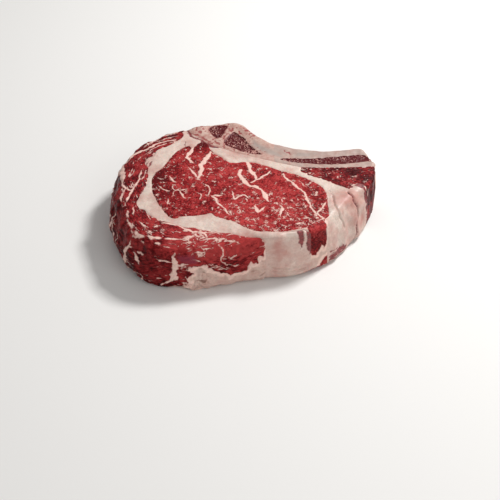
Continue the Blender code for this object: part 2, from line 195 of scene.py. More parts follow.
# The two islands of marrow that lie inside the bone, in the plan.
RINGS = {
    "knob": [
        (-15.0, 72.8), (-17.0, 74.6), (-22.5, 73.8), (-27.6, 72.2), (-29.8, 69),
        (-28.6, 64), (-26.2, 59.6), (-23.2, 56.6), (-20.6, 57.4), (-18.6, 61.2),
        (-16.6, 66.8)],
    "neck": [
        (-9.6, 65.4), (-12.2, 62.4), (-14.8, 58), (-17.4, 53), (-17.2, 48.6), (-13.4, 45),
        (-8.2, 41.4), (-3, 37.4), (2.6, 35.2), (8, 33.6), (12.8, 33.8), (10.2, 37),
        (6.6, 41.6), (3.2, 47), (0.8, 52), (-2, 57), (-5.4, 61.6)],
}

# The marbling of the eye muscle, in the plan.
EYE_VEINS = (
    Vein(3.5, [(-27.5, 37), (-30, 29), (-32, 25), (-34, 19.5), (-34, 12.5), (-35, 5), (-36, 2)]),
    Vein(1.5, [(-44, 15.5), (-40, 9.5), (-36, 2)]),
    Vein(2.5, [(-41, 46), (-42, 41), (-43, 36.5), (-46, 31.5), (-44, 26.5), (-41.5, 22.5)]),
    Vein(1.2, [(-55, -6), (-53.5, -13), (-50, -13), (-48, -16), (-46.5, -22), (-45, -24)]),
    Vein(2.0, [(-48.5, -13), (-43.5, -12.5)]),
    Vein(1.2, [(-53.5, -14), (-54.5, -21)]),
    Vein(1.2, [(-66, -6.5), (-62, -11.5), (-57, -14)]),
    Vein(1.2, [(-57.5, 4.5), (-55.5, -1.5), (-53, -3.5)]),
    Vein(1.5, [(-57, -23.5), (-57, -29.5)]),
    Vein(1.2, [(-31, -6.5), (-27, -11.5), (-26.5, -14), (-28, -20.5), (-30, -19.5)]),
    Vein(1.0, [(-36.5, -16.5), (-33, -20), (-34.5, -25)]),
    Vein(1.4, [(-25, -21), (-22, -25.5), (-20, -30.5), (-17, -33.5), (-14, -38.5),
               (-12, -43.5)]),
    Vein(1.4, [(-24, -21.5), (-18, -20.5)]),
    Vein(1.3, [(-10.5, -15.5), (-8, -24), (-4, -21), (-1, -19.5), (2.5, -23)]),
    Vein(1.6, [(0, -23.5), (1, -26)]),
    Vein(4.8, [(-4, 12), (-4.5, 6), (-3, 2), (0, -4.5), (3, -8)]),
    Vein(2.9, [(3, -8), (5, -8), (9, -9.5), (11, -12), (13, -16), (15.5, -23), (16.5, -27)]),
    Vein(3.5, [(0, 24), (2, 20), (3, 16), (4, 10), (7, 5), (7, 1)]),
    Vein(1.5, [(4, -4), (7, -1), (10, 1.5), (15, 5), (17, 8), (19, 11)]),
    Vein(2.2, [(6.5, -33), (9.5, -40), (14, -34.5)]),
    Vein(2.5, [(26, -33), (26.5, -37), (25.5, -44)]),
    Vein(1.0, [(26.5, -24.5), (26.5, -29)]),
    Vein(1.4, [(28.5, 8), (30, 2), (34, -3.5), (39, -10.5), (43, -16.5), (44, -20.5),
               (46, -28.5), (49.5, -38), (53, -42.5), (57.5, -47)]),
    Vein(1.2, [(52, -41), (57, -33), (59, -28)]),
    Vein(1.0, [(42, -3.5), (45.5, -9.5)]),
)

# The streaks of fat in the cap muscle's cut face, in the plan.
CAP_VEINS = (
    Vein(1.7, [(-79, -55), (-78, -60.5), (-74.5, -64.5), (-65, -67.5), (-55, -69), (-45, -68),
               (-36, -67)]),
    Vein(1.5, [(-44, -69.5), (-36, -75)]),
    Vein(1.0, [(-80, -61), (-73, -69.5), (-70.5, -72)]),
    Vein(1.1, [(-68, -68.5), (-60.5, -73.5), (-53.5, -76)]),
    Vein(1.6, [(-60, -52), (-52, -53.5), (-46, -56.5), (-41, -60.5), (-31, -63), (-26, -68)]),
    Vein(1.1, [(-55, 54), (-60, 52.5), (-65, 50), (-70, 47.5), (-75, 43.5), (-77, 41.5)]),
    Vein(2.0, [(-76, 42), (-80, 39.5), (-83.5, 37.5), (-87.5, 33.5), (-90, 29.5), (-92, 24)]),
    Vein(3.6, [(-95, 36), (-95.5, 31.5), (-95, 23.5), (-94.5, 13), (-94, 3.5), (-93, -2.5)]),
    Vein(3.0, [(-93, -2.5), (-91, -7.5), (-90, -10)]),
    Vein(2.0, [(-88.5, 42), (-92, 39), (-95, 35.5)]),
    Vein(1.6, [(-79.5, 13), (-80.5, 6), (-80.5, 1), (-82, -2.5), (-83.5, -7.5), (-85, -11.5),
               (-86, -15.5), (-87, -19.5), (-88.5, -25.5)]),
    Vein(1.2, [(-77, 6), (-78.5, 1.5), (-80.5, 0)]),
    Vein(1.0, [(-76, 12.5), (-77, 7)]),
    Vein(2.0, [(-87, -6.5), (-86, -9)]),
    Vein(1.5, [(-89, -8), (-87.5, -11.5), (-85.5, -12)]),
    Vein(1.2, [(-90.5, -10), (-91.5, -16), (-92.5, -21), (-91, -24.5)]),
    Vein(1.2, [(-86, -36), (-85.5, -44), (-84.5, -48.5), (-82, -53.5), (-81, -58.5),
               (-80, -62.5)]),
    Vein(0.9, [(-82, -32), (-81.5, -42.5)]),
    Vein(1.0, [(-77, -49.5), (-74, -53.5), (-70, -57)]),
    Vein(2.4, [(-72, -36), (-71.5, -38.5)]),
    Vein(1.8, [(-71.5, -42), (-69.5, -45.5)]),
    Vein(0.8, [(-53, 66), (-60, 61), (-68, 55.5), (-74, 50.5), (-80, 44)]),
    Vein(0.7, [(-54, 60), (-60, 57), (-66, 53)]),
    Vein(0.8, [(-62, 48.5), (-67, 45.5), (-72, 42), (-76, 37), (-79, 33)]),
    Vein(1.0, [(-75, 47.5), (-72, 51.5), (-69, 54.5)]),
    Vein(0.9, [(-78, 50.5), (-76, 45)]),
)

# Streaks of fat on the cap muscle's side, as millimetres along the outline and up the side,
# on over the rim.
SIDE_VEINS = (
    Vein(4.2, [(195, 29.9), (196, 24.6), (195, 17.5), (194, 11), (189, 6)]),
    Vein(1.6, [(189, 6), (184, 2.5), (178, 1)]),
    Vein(2.2, [(195, 22.9), (205, 24)]),
    Vein(1.8, [(194, 25.1), (184, 26)]),
    Vein(4.2, [(157, 28), (156, 22), (153, 14), (150, 5)]),
    Vein(2.2, [(163, 25), (170, 18)]),
    Vein(1.4, [(166, 12), (172, 7)]),
    Vein(1.1, [(165, 26.3), (172, 25.9)]),
    Vein(2.4, [(120, 27.5), (121, 22.5), (116, 12.6)]),
    Vein(0.7, [(222, 33), (228, 31), (231, 28.8), (231, 27.3), (228, 25.3), (231, 21),
               (241, 17.9)]),
    Vein(2.2, [(88, 8), (96, 12), (108, 9), (116, 14)]),
    Vein(2.8, [(4, 10), (14, 14), (27, 12), (40, 18), (52, 15)]),
    Vein(2.0, [(22, 24), (34, 27), (44, 22)]),
    Vein(1.6, [(66, 6), (74, 16), (80, 20), (90, 20)]),
    Vein(1.2, [(125, 26), (131, 17), (135, 8)]),
    Vein(0.9, [(135, 24), (140, 14)]),
)

# The fat that runs under the lobe of the cap muscle, along the outline and up the side.
SIDE_FAT = (
    [(264, 40), (261.8, 33), (261, 26.4), (260, 21.4), (256, 23.3), (255, 16.2),
     (251, 18.7), (248, 16.9), (247, 12.3), (241, 10.7), (235, 10.6), (230, 12.6),
     (225, 15), (221, 17.6), (218, 20.7), (212, 22.6), (204.5, 20.5), (209, 16.5), (203, 12.5),
     (207, 9.5), (200, 6), (205, 4.6), (196, 1.5), (190, -2), (264, -2)],
)

# The thin purple skin under the streak of fat at the front, along the outline and up the side.
MEMBRANE = (
    [(197, 29.9), (210, 29.8), (212, 23.9), (207, 23.9), (200, 25.4)],
)

# Where the eye muscle shows on the steak's side, along the outline and up the side.
EYE_SIDE_LEAN = (
    [(293, 60), (294, 22.4), (296, 15.2), (299, 14.7), (301, 17.7), (304, 22.7), (305, 17.6),
     (307, 22.6), (309, 26.6), (310, 60)],
    [(301.5, 1.5), (303, 6.5), (306, 10), (310, 12), (310, 2)],
)

# Lean that shows on the fat's own side, as millimetres along the outline and up the side.
SIDE_LEAN = (
    [(284.5, 42), (285, 31.7), (287.5, 23), (289.4, 31.7), (289, 42)],
    [(308, 3), (308.5, 9), (312, 14), (316, 12.5), (320, 9.5), (327, 8.6), (333, 5.5),
     (330, 2.5), (318, 1.5)],
    [(568.4, -1), (569.8, 8), (568.8, 15), (570.2, 22), (569.0, 30), (570.6, 42), (573, 42),
     (573, -1)],
    [(290.6, 44), (291.6, 34), (290.8, 27), (292.0, 21), (294, 17), (297, 17), (297, 44)],
    [(360, 42), (361.5, 34), (360.2, 27), (362, 22), (361, 15), (362.4, 9), (362, 3), (366, 0),
     (366, 42)],
)
# The creases in the fat's side, along the outline and up the side, on over the rim.
SIDE_CREASES = (
    [(350, 42), (348, 35.2), (347, 33.2), (350, 28.8), (349, 24.9), (349, 20.5), (346, 16.1),
     (345, 11.7), (344, 6.8), (343, 3)],
    [(346, 56), (339, 48), (333, 42.5), (329, 38.5), (328, 34), (328.5, 29), (330, 22)],
    [(266, 10.5), (276, 9.2), (286, 9.1), (297, 8)],
    [(266, 7), (280, 5.8), (292, 6)],
)

# Lean in the cut face of the fat, in the plan.
FAT_LEAN = (
    Vein(1.3, [(-74.6, 24.5), (-76.5, 20.5), (-78, 16)]),
    Vein(1.5, [(-72, 25), (-73.8, 20.5), (-75, 17)]),
    Vein(2.4, [(-47, 68), (-45, 63), (-42.5, 59), (-38, 55.5), (-34, 52)]),
    Vein(3.4, [(-38, 56), (-34, 51.5), (-31, 48.5), (-27, 45.5), (-22, 43)]),
    Vein(0.7, [(-48.2, 53), (-47.8, 45)]),
    Vein(0.8, [(-29, 42), (-25, 36)]),
)


def curve_through(points: Path | np.ndarray, closed: bool = False) -> np.ndarray:
    """A finely sampled centripetal Catmull-Rom curve through the points.

    Args:
        points: the plan points that it passes.
        closed: whether it comes back to its first point.

    Returns:
        The curve's points, its first and last among them.
    """
    pts = np.asarray(points, float)
    if closed:
        pts = np.vstack([pts[-1], pts, pts[:2]])
    else:
        pts = np.vstack([2 * pts[0] - pts[1], pts, 2 * pts[-1] - pts[-2]])
    knots = np.concatenate([[0], np.cumsum(np.linalg.norm(np.diff(pts, axis=0), axis=1) ** 0.5)])
    pieces = []
    for i in range(1, len(pts) - 2):
        t0, t1, t2, t3 = knots[i - 1:i + 3]
        count = max(2, int(np.linalg.norm(pts[i + 1] - pts[i]) / (0.3 * LOOP_STEP)))
        t = np.linspace(t1, t2, count, endpoint=False)[:, None]
        a1 = ((t1 - t) * pts[i - 1] + (t - t0) * pts[i]) / (t1 - t0)
        a2 = ((t2 - t) * pts[i] + (t - t1) * pts[i + 1]) / (t2 - t1)
        a3 = ((t3 - t) * pts[i + 1] + (t - t2) * pts[i + 2]) / (t3 - t2)
        b1 = ((t2 - t) * a1 + (t - t0) * a2) / (t2 - t0)
        b2 = ((t3 - t) * a2 + (t - t1) * a3) / (t3 - t1)
        pieces.append(((t2 - t) * b1 + (t - t1) * b2) / (t2 - t1))
    pieces.append(pts[-2:-1])
    return np.vstack(pieces)


def evenly_spaced(path: np.ndarray, step: float) -> np.ndarray:
    """Points an equal length apart along a finely sampled path.

    Args:
        path: the path's points.
        step: about how far apart the new points are.

    Returns:
        The new points, the path's first and last among them.
    """
    run = np.concatenate([[0], np.cumsum(np.linalg.norm(np.diff(path, axis=0), axis=1))])
    marks = np.linspace(0, run[-1], max(2, round(run[-1] / step)) + 1)
    return np.column_stack([np.interp(marks, run, path[:, k]) for k in (0, 1)])


def left_normals(loop: np.ndarray) -> np.ndarray:
    """The unit normals of a closed loop.

    Args:
        loop: the loop's points.

    Returns:
        The normal at each point, on the left of the loop's direction.
    """
    along = np.roll(loop, -1, axis=0) - np.roll(loop, 1, axis=0)
    along /= np.linalg.norm(along, axis=1)[:, None]
    return np.column_stack([-along[:, 1], along[:, 0]])


def smooth(value: np.ndarray, low: float, high: float) -> np.ndarray:
    """0 below low, 1 above high and an eased step between them."""
    share = np.clip((value - low) / (high - low), 0, 1)
    return share * share * (3 - 2 * share)


def between(value: np.ndarray, rise: tuple[float, float],
            fall: tuple[float, float]) -> np.ndarray:
    """1 between an eased step up and an eased step down, 0 before and after them."""
    return smooth(value, *rise) * (1 - smooth(value, *fall))


def inside(points: np.ndarray, loops: list[np.ndarray]) -> np.ndarray:
    """Tests which points lie inside a region.

    Args:
        points: the points, as rows.
        loops: the region's outer loop and the loops round its holes.

    Returns:
        True for each point that an odd number of the loops surrounds.
    """
    odd = np.zeros(len(points), bool)
    for first in range(0, len(points), 4000):
        x, y = points[first:first + 4000, :1], points[first:first + 4000, 1:2]
        for loop in loops:
            a, b = loop, np.roll(loop, -1, axis=0)
            spans = (a[:, 1] > y) != (b[:, 1] > y)
            rise = np.where(b[:, 1] == a[:, 1], 1.0, b[:, 1] - a[:, 1])
            crossing = a[:, 0] + (y - a[:, 1]) * (b[:, 0] - a[:, 0]) / rise
            hits = np.sum(spans & (x < crossing), axis=1) % 2
            odd[first:first + 4000] ^= hits.astype(bool)
    return odd


def to_lines(points: np.ndarray, path: np.ndarray) -> np.ndarray:
    """The distance from points to an open path.

    Args:
        points: the points, as rows.
        path: the path's points.

    Returns:
        One distance for each point.
    """
    best = np.full(len(points), np.inf)
    for a, b in zip(path[:-1], path[1:]):
        span = b - a
        share = np.clip((points - a) @ span / (span @ span), 0, 1)
        best = np.minimum(best, np.linalg.norm(points - a - share[:, None] * span, axis=1))
    return best


def within_veins(points: np.ndarray, veins: tuple[Vein, ...]) -> np.ndarray:
    """How deep points lie inside veins that swell, shrink and taper along their lines.

    Args:
        points: the points, as rows of two coordinates.
        veins: the veins, in the same coordinates.

    Returns:
        One depth in millimetres for each point, less than 0 outside the veins.
    """
    depth = np.full(len(points), OUTSIDE)
    for vein in veins:
        path = evenly_spaced(curve_through(vein.points), LINE_STEP)
        low, high = path.min(axis=0) - 5, path.max(axis=0) + 5
        near = np.all((points > low) & (points < high), axis=1)
        flat = np.column_stack([points[near], np.zeros(near.sum())])
        swell = 1 + 0.30 * noise(flat, 4.5, 3) + 0.22 * noise(flat, 1.6, 5)
        gap = to_lines(points[near], path)
        ends = np.minimum(
            np.linalg.norm(points[near] - path[0], axis=1),
            np.linalg.norm(points[near] - path[-1], axis=1))
        taper = 0.45 + 0.55 * smooth(ends, 0.0, 2.2 * vein.width + 1)
        depth[near] = np.maximum(depth[near], 0.5 * vein.width * swell * taper - gap)
    return depth


def away_from(points: np.ndarray, lines: tuple[Path, ...], most: float = 9.0) -> np.ndarray:
    """The distance from points to the nearest of some lines.

    Args:
        points: the points, as rows of two coordinates.
        lines: the lines, in the same coordinates.
        most: the distance past which no point is measured.

    Returns:
        One distance for each point.
    """
    gap = np.full(len(points), most)
    for line in lines:
        path = evenly_spaced(curve_through(line), LINE_STEP)
        low, high = path.min(axis=0) - most, path.max(axis=0) + most
        near = np.all((points > low) & (points < high), axis=1)
        gap[near] = np.minimum(gap[near], to_lines(points[near], path))
    return gap


def hump(points: np.ndarray, centre: tuple[float, float], reach: float) -> np.ndarray:
    """1 at the centre, easing to 0 over about the reach."""
    return np.exp(-((points - np.array(centre)) ** 2).sum(axis=1) / reach ** 2)


def within_patches(points: np.ndarray, patches: tuple[Path, ...]) -> np.ndarray:
    """How deep points lie inside patches.

    Args:
        points: the points, as rows of two coordinates.
        patches: the outline of each patch, in the same coordinates.

    Returns:
        One depth in millimetres for each point, less than 0 outside the patches.
    """
    depth = np.full(len(points), OUTSIDE)
    for patch in patches:
        ring = np.array(patch, float)
        low, high = ring.min(axis=0) + OUTSIDE, ring.max(axis=0) - OUTSIDE
        near = np.all((points > low) & (points < high), axis=1)
        gap = to_lines(points[near], np.vstack([ring, ring[:1]]))
        side = np.where(inside(points[near], [ring]), 1.0, -1.0)
        depth[near] = np.maximum(depth[near], side * gap)
    return depth


def noise(points: np.ndarray, size: float | tuple, seed: int = 0, octaves: int = 1) -> np.ndarray:
    """Smooth noise from about -1 to 1.

    Args:
        points: rows of three coordinates in millimetres.
        size: the width of its bumps in millimetres, or one width for each axis.
        seed: picks the pattern.
        octaves: how many finer layers it adds, each half the size and strength.

    Returns:
        One value for each point.
    """
    total = np.zeros(len(points))
    for octave in range(octaves):
        at = points / np.asarray(size) * 2 ** octave + 17.3 * seed + 5.7 * octave
        cell = np.floor(at)
        part = at - cell
        ease = part * part * (3 - 2 * part)
        for corner in itertools.product((0, 1), repeat=3):
            spot = np.sin((cell + corner) @ np.array([12.9898, 78.233, 37.719])) * 43758.5453
            weight = np.where(corner, ease, 1 - ease).prod(axis=1)
            total += (2 * (spot - np.floor(spot)) - 1) * weight * 0.5 ** octave
    return total * 1.3


def wander(points: np.ndarray, amount: float, size: float, seed: int) -> np.ndarray:
    """Small shifts in two directions, which bend a line as tissue does.

    Args:
        points: rows of three coordinates in millimetres.
        amount: about how far they go.
        size: the width of the bends.
        seed: picks the pattern, and the next one for the second direction.

    Returns:
        Rows of two shifts in millimetres.
    """
    return amount * np.column_stack([noise(points, size, seed), noise(points, size, seed + 1)])


def finder(points: np.ndarray) -> KDTree:
    """A search tree over plan points.

    Args:
        points: rows of two coordinates.

    Returns:
        The tree, in which each point has its row's number.
    """
    tree = KDTree(len(points))
    for i, (x, y) in enumerate(points):
        tree.insert((x, y, 0), i)
    tree.balance()
    return tree


def gap_to(tree: KDTree, points: np.ndarray) -> np.ndarray:
    """The distance from each plan point to the nearest one in the tree."""
    return np.array([tree.find((x, y, 0))[2] for x, y in points])


def quarter_round(gap: np.ndarray, radius: np.ndarray | float) -> np.ndarray:
    """How far a rounded edge has fallen: 1 at the edge, 0 a radius in from it."""
    return 1 - np.sqrt(1 - np.clip(1 - gap / radius, 0, 1) ** 2)


def cut_face(plan: np.ndarray) -> np.ndarray:
    """The height of the cut face: crowned over the eye, lower to the left, gently uneven.

    Args:
        plan: rows of two plan coordinates.

    Returns:
        One height in millimetres for each row.
    """
    x, y = plan[:, 0], plan[:, 1]
    crown = 0.9 * np.exp(-((x + 2) / 55) ** 2 - ((y + 18) / 34) ** 2)
    sag = 1.6 * np.clip((-62 - x) / 34, 0, 1) ** 2
    waves = 0.35 * np.sin(x / 12.5 + 0.8) * np.sin(y / 15.5 - 0.5)
    return THICKNESS - 0.6 + crown - sag + waves


def lumps(plan: np.ndarray, level: np.ndarray) -> np.ndarray:
    """How far the soft side swells or falls back, past its plain bulge.

    Args:
        plan: rows of two plan coordinates.
        level: each row's level in the slab, from 0 to 1.

    Returns:
        One value for each row, from about -1.4 to 1.4.
    """
    x, y = plan[:, 0], plan[:, 1]
    low = np.sin(x / 7.5 + 2.6 * level) * np.sin(y / 8.5 - 1.8 * level)
    return 0.9 * low + 0.5 * np.sin(x / 4.1 - y / 5.2 + 3.4 * level)


class Slab:
    """The steak as a whole: its outline and the mapping from the plan to its real form."""

    # How far the regions drift sideways below the cut face, and how long that wave is.
    DRIFT_X, WAVE_X = 3.0, 34
    DRIFT_Y, WAVE_Y = 2.4, 41
    # The bulge from which the soft side has its full lumps.
    LUMPY = 2.4

    def __init__(self) -> None:
        """Draws the outline and spreads the rim sizes along it."""
        points = [p for stretch in OUTLINE for p in stretch.points]
        starts = np.cumsum([0] + [len(stretch.points) for stretch in OUTLINE])
        whole = curve_through(points, closed=True)
        marks = [np.linalg.norm(whole - points[i], axis=1).argmin() for i in starts[1:-1]]
        marks = [0, *marks, len(whole) - 1]
        self.corners: dict[str, int] = {}
        sides, rims = [], []
        for stretch, first, last in zip(OUTLINE, marks, marks[1:]):
            side = evenly_spaced(whole[first:last + 1], LOOP_STEP)[:-1]
            self.corners[stretch.start] = sum(map(len, sides))
            sides.append(side)
            rims += [stretch.rim] * len(side)
        self.loop = np.vstack(sides)
        self.count = len(self.loop)
        self.out = -left_normals(self.loop)
        self.rims = self._blended(np.array(rims, float))
        self.tree = finder(self.loop)
        self.lines = {name: self._seam(name) for name in SEAMS}
        self.rings = {name: self._ring(name) for name in RINGS}

    def _blended(self, rims: np.ndarray) -> np.ndarray:
        """Eases the rim sizes from one stretch of the outline to the next.

        Args:
            rims: the plain sizes, one row for each outline point.

        Returns:
            The eased sizes, in the same rows.
        """
        reach = np.arange(len(rims))
        away = np.minimum(reach, len(rims) - reach) * LOOP_STEP
        weight = np.exp(-0.5 * (away / RIM_BLEND) ** 2)
        spectrum = np.fft.fft(weight / weight.sum())[:, None]
        return np.fft.ifft(np.fft.fft(rims, axis=0) * spectrum, axis=0).real

    def on_loop(self, along: np.ndarray, table: np.ndarray) -> np.ndarray:
        """Reads a table that has one row for each outline point.

        Args:
            along: places on the outline, also between its points.
            table: the table.

        Returns:
            One row for each place.
        """
        low = np.floor(along).astype(int)
        part = (along - low)[:, None]
        return table[low % self.count] * (1 - part) + table[(low + 1) % self.count] * part

    def nearest(self, plan: np.ndarray) -> tuple[np.ndarray, np.ndarray]:
        """Finds the outline's nearest place to each plan point.

        Args:
            plan: rows of two plan coordinates.

        Returns:
            Each row's distance to the outline, and where on the outline that is.
        """
        near = np.array([self.tree.find((x, y, 0))[1] for x, y in plan], int)
        best, where = np.full(len(plan), np.inf), near.astype(float)
        for first in (near - 1, near):
            a = self.loop[first % self.count]
            span = self.loop[(first + 1) % self.count] - a
            share = np.clip(((plan - a) * span).sum(axis=1) / (span ** 2).sum(axis=1), 0, 1)
            gap = np.linalg.norm(plan - a - share[:, None] * span, axis=1)
            closer = gap < best
            best = np.where(closer, gap, best)
            where = np.where(closer, first + share, where)
        return best, where % self.count

    def place(self, plan: np.ndarray, level: np.ndarray) -> np.ndarray:
        """Carries plan points over to the slab's real form.

        Args:
            plan: rows of two plan coordinates.
            level: each row's level in the slab, 0 at the table and 1 at the cut face.

        Returns:
            Rows of three coordinates in millimetres.
        """
        gap, where = self.nearest(plan)
        radius, drop, foot, bulge = self.on_loop(where, self.rims).T
        out = self.on_loop(where, self.out)
        shift = foot * (1 - level) ** 1.5 + bulge * 4 * level * (1 - level)
        shift = shift + lumps(plan, level) * np.minimum(bulge, self.LUMPY) / self.LUMPY
        shift = shift * np.clip(1 - gap / SIDE_REACH, 0, 1) ** 2
        drift = (1 - level) * np.clip(gap / SIDE_REACH - 0.4, 0, 1)
        sway = np.sin(plan[:, ::-1] / (self.WAVE_X, self.WAVE_Y) + (0.6, -0.4))
        x = plan[:, 0] + out[:, 0] * shift + drift * self.DRIFT_X * sway[:, 0]
        y = plan[:, 1] + out[:, 1] * shift - drift * self.DRIFT_Y * sway[:, 1]
        top = cut_face(plan) - drop * quarter_round(gap, radius)
        bottom = FOOT_RISE * quarter_round(gap, FOOT_RADIUS)
        return np.column_stack([x, y, bottom + (top - bottom) * level])

    def corner(self, name: str) -> np.ndarray:
        """A named corner of the plan."""
        return np.array(RIB_ROOT) if name == "rib_root" else self.loop[self.corners[name]]

    def side(self, first: str, last: str) -> np.ndarray:
        """The side's edge from one named corner to another.

        Args:
            first: the corner where it starts.
            last: the corner where it ends, counter-clockwise from the first.

        Returns:
            Rows of x, y and place on the outline.
        """
        start, end = self.corners[first], self.corners[last]
        if end <= start:
            end += self.count
        along = np.linspace(start, end, max(2, round((end - start) / EDGE_STEP)) + 1)
        return np.column_stack([self.on_loop(along, self.loop), along % self.count])

    def _strayed(self, path: np.ndarray, amount: float, free: np.ndarray) -> np.ndarray:
        """Gives a path the small uneven turns of a real seam.

        Args:
            path: the plain path.
            amount: how far it strays, in millimetres.
            free: the share of that at each point.

        Returns:
            The strayed path.
        """
        along = np.gradient(path, axis=0)
        across = np.column_stack([-along[:, 1], along[:, 0]])
        across /= np.linalg.norm(across, axis=1)[:, None]
        flat = np.column_stack([path, np.zeros(len(path))])
        turn = 0.7 * noise(flat, 4.0, 11) + 0.5 * noise(flat, 1.7, 12)
        return path + across * (amount * turn * free)[:, None]

    def _seam(self, name: str) -> np.ndarray:
        """One seam of the plan.

        Args:
            name: the seam's name in SEAMS.

        Returns:
            Rows of x, y and place on the outline, which is nan away from the outline.
        """
        first, last, points = SEAMS[name]
        path = evenly_spaced(
            curve_through([self.corner(first), *points, self.corner(last)]), EDGE_STEP)
        run = np.arange(len(path)) * EDGE_STEP
        free = smooth(np.minimum(run, run[::-1]), 0.5, 5.0)
        strayed = self._strayed(path, RAGGED[name], free)
        rows = np.column_stack([strayed, np.full(len(path), np.nan)])
        for row, corner in ((0, first), (-1, last)):
            rows[row, 2] = self.corners.get(corner, np.nan)
        return rows

    def _ring(self, name: str) -> np.ndarray:
        """The edge of one island of marrow.

        Args:
            name: the island's name in RINGS.

        Returns:
            Rows of x, y and nan.
        """
        path = evenly_spaced(curve_through(RINGS[name], closed=True), EDGE_STEP)[:-1]
        path = self._strayed(path, RAGGED[name], np.ones(len(path)))
        return np.column_stack([path, np.full(len(path), np.nan)])

    def region(self, node: str) -> list[np.ndarray]:
        """A node's plan.

        Args:
            node: the CAD node's name.

        Returns:
            Its outer loop and any loops round a hole in it, as rows of x, y and place on the
            outline.
        """
        line = self.lines
        back = {name: rows[::-1] for name, rows in line.items()}
        arcs = {
            "cap_muscle": [self.side("cap_back", "fat_front"), back["cap"]],
            "eye_muscle": [self.side("eye_corner", "fat_corner"), line["eye"]],
            "fat": [
                self.side("fat_back", "cap_back"), line["cap"],
                self.side("fat_front", "eye_corner"), back["eye"],
                self.side("fat_corner", "rib_end"), back["rib_lean"], back["bone"]],
            "rib_lean": [self.side("rib_end", "bone_end"), back["rib"], line["rib_lean"]],
            "rib_bone": [
                self.side("bone_end", "marrow_low"), line["marrow"],
                self.side("marrow_high", "fat_back"), line["bone"], line["rib"]],
            "marrow_rib": [self.side("marrow_low", "marrow_high"), back["marrow"]],
        }
        if node in arcs:
            loops = [np.vstack([arc[:-1] for arc in arcs[node]])]
            if node == "rib_bone":
                loops += [self.rings["knob"][::-1], self.rings["neck"][::-1]]
            return loops
        return [self.rings[node.split("_")[1]]]


class Face(Enum):
    """The three kinds of place on a piece."""

    UNDER = 0
    SIDE = 1
    TOP = 2


@dataclass
class Surface:
    """Every vertex of a piece: where it is in the plan and in space.

    plan and level are its place in the slab, along is the nearest place on the outline, and
    face is the kind of place. gap is the distance to the outline, seam_gap the distance to the
    piece's inner edges and rim the height of the rim there, all in millimetres. point and
    normal are those of the plain form.
    """

    plan: np.ndarray
    level: np.ndarray
    along: np.ndarray
    face: np.ndarray
    gap: np.ndarray
    seam_gap: np.ndarray
    rim: np.ndarray
    point: np.ndarray
    normal: np.ndarray

    @property
    def unrolled(self) -> np.ndarray:
        """Millimetres along the outline and up the side, going on over the rim and below."""
        up = np.where(self.face == Face.UNDER.value, -self.gap, self.point[:, 2])
        up = np.where(self.face == Face.TOP.value, self.rim + self.gap, up)
        return np.column_stack([self.along, up])

    @property
    def run(self) -> np.ndarray:
        """Along the outline, in past the rim and up: coordinates that follow a muscle's wrap."""
        along, up = self.unrolled.T
        return np.column_stack([along, up - self.rim, np.zeros(len(along))])

    def on(self, face: Face) -> np.ndarray:
        """1 on that kind of place, 0 elsewhere."""
        return (self.face == face.value).astype(float)


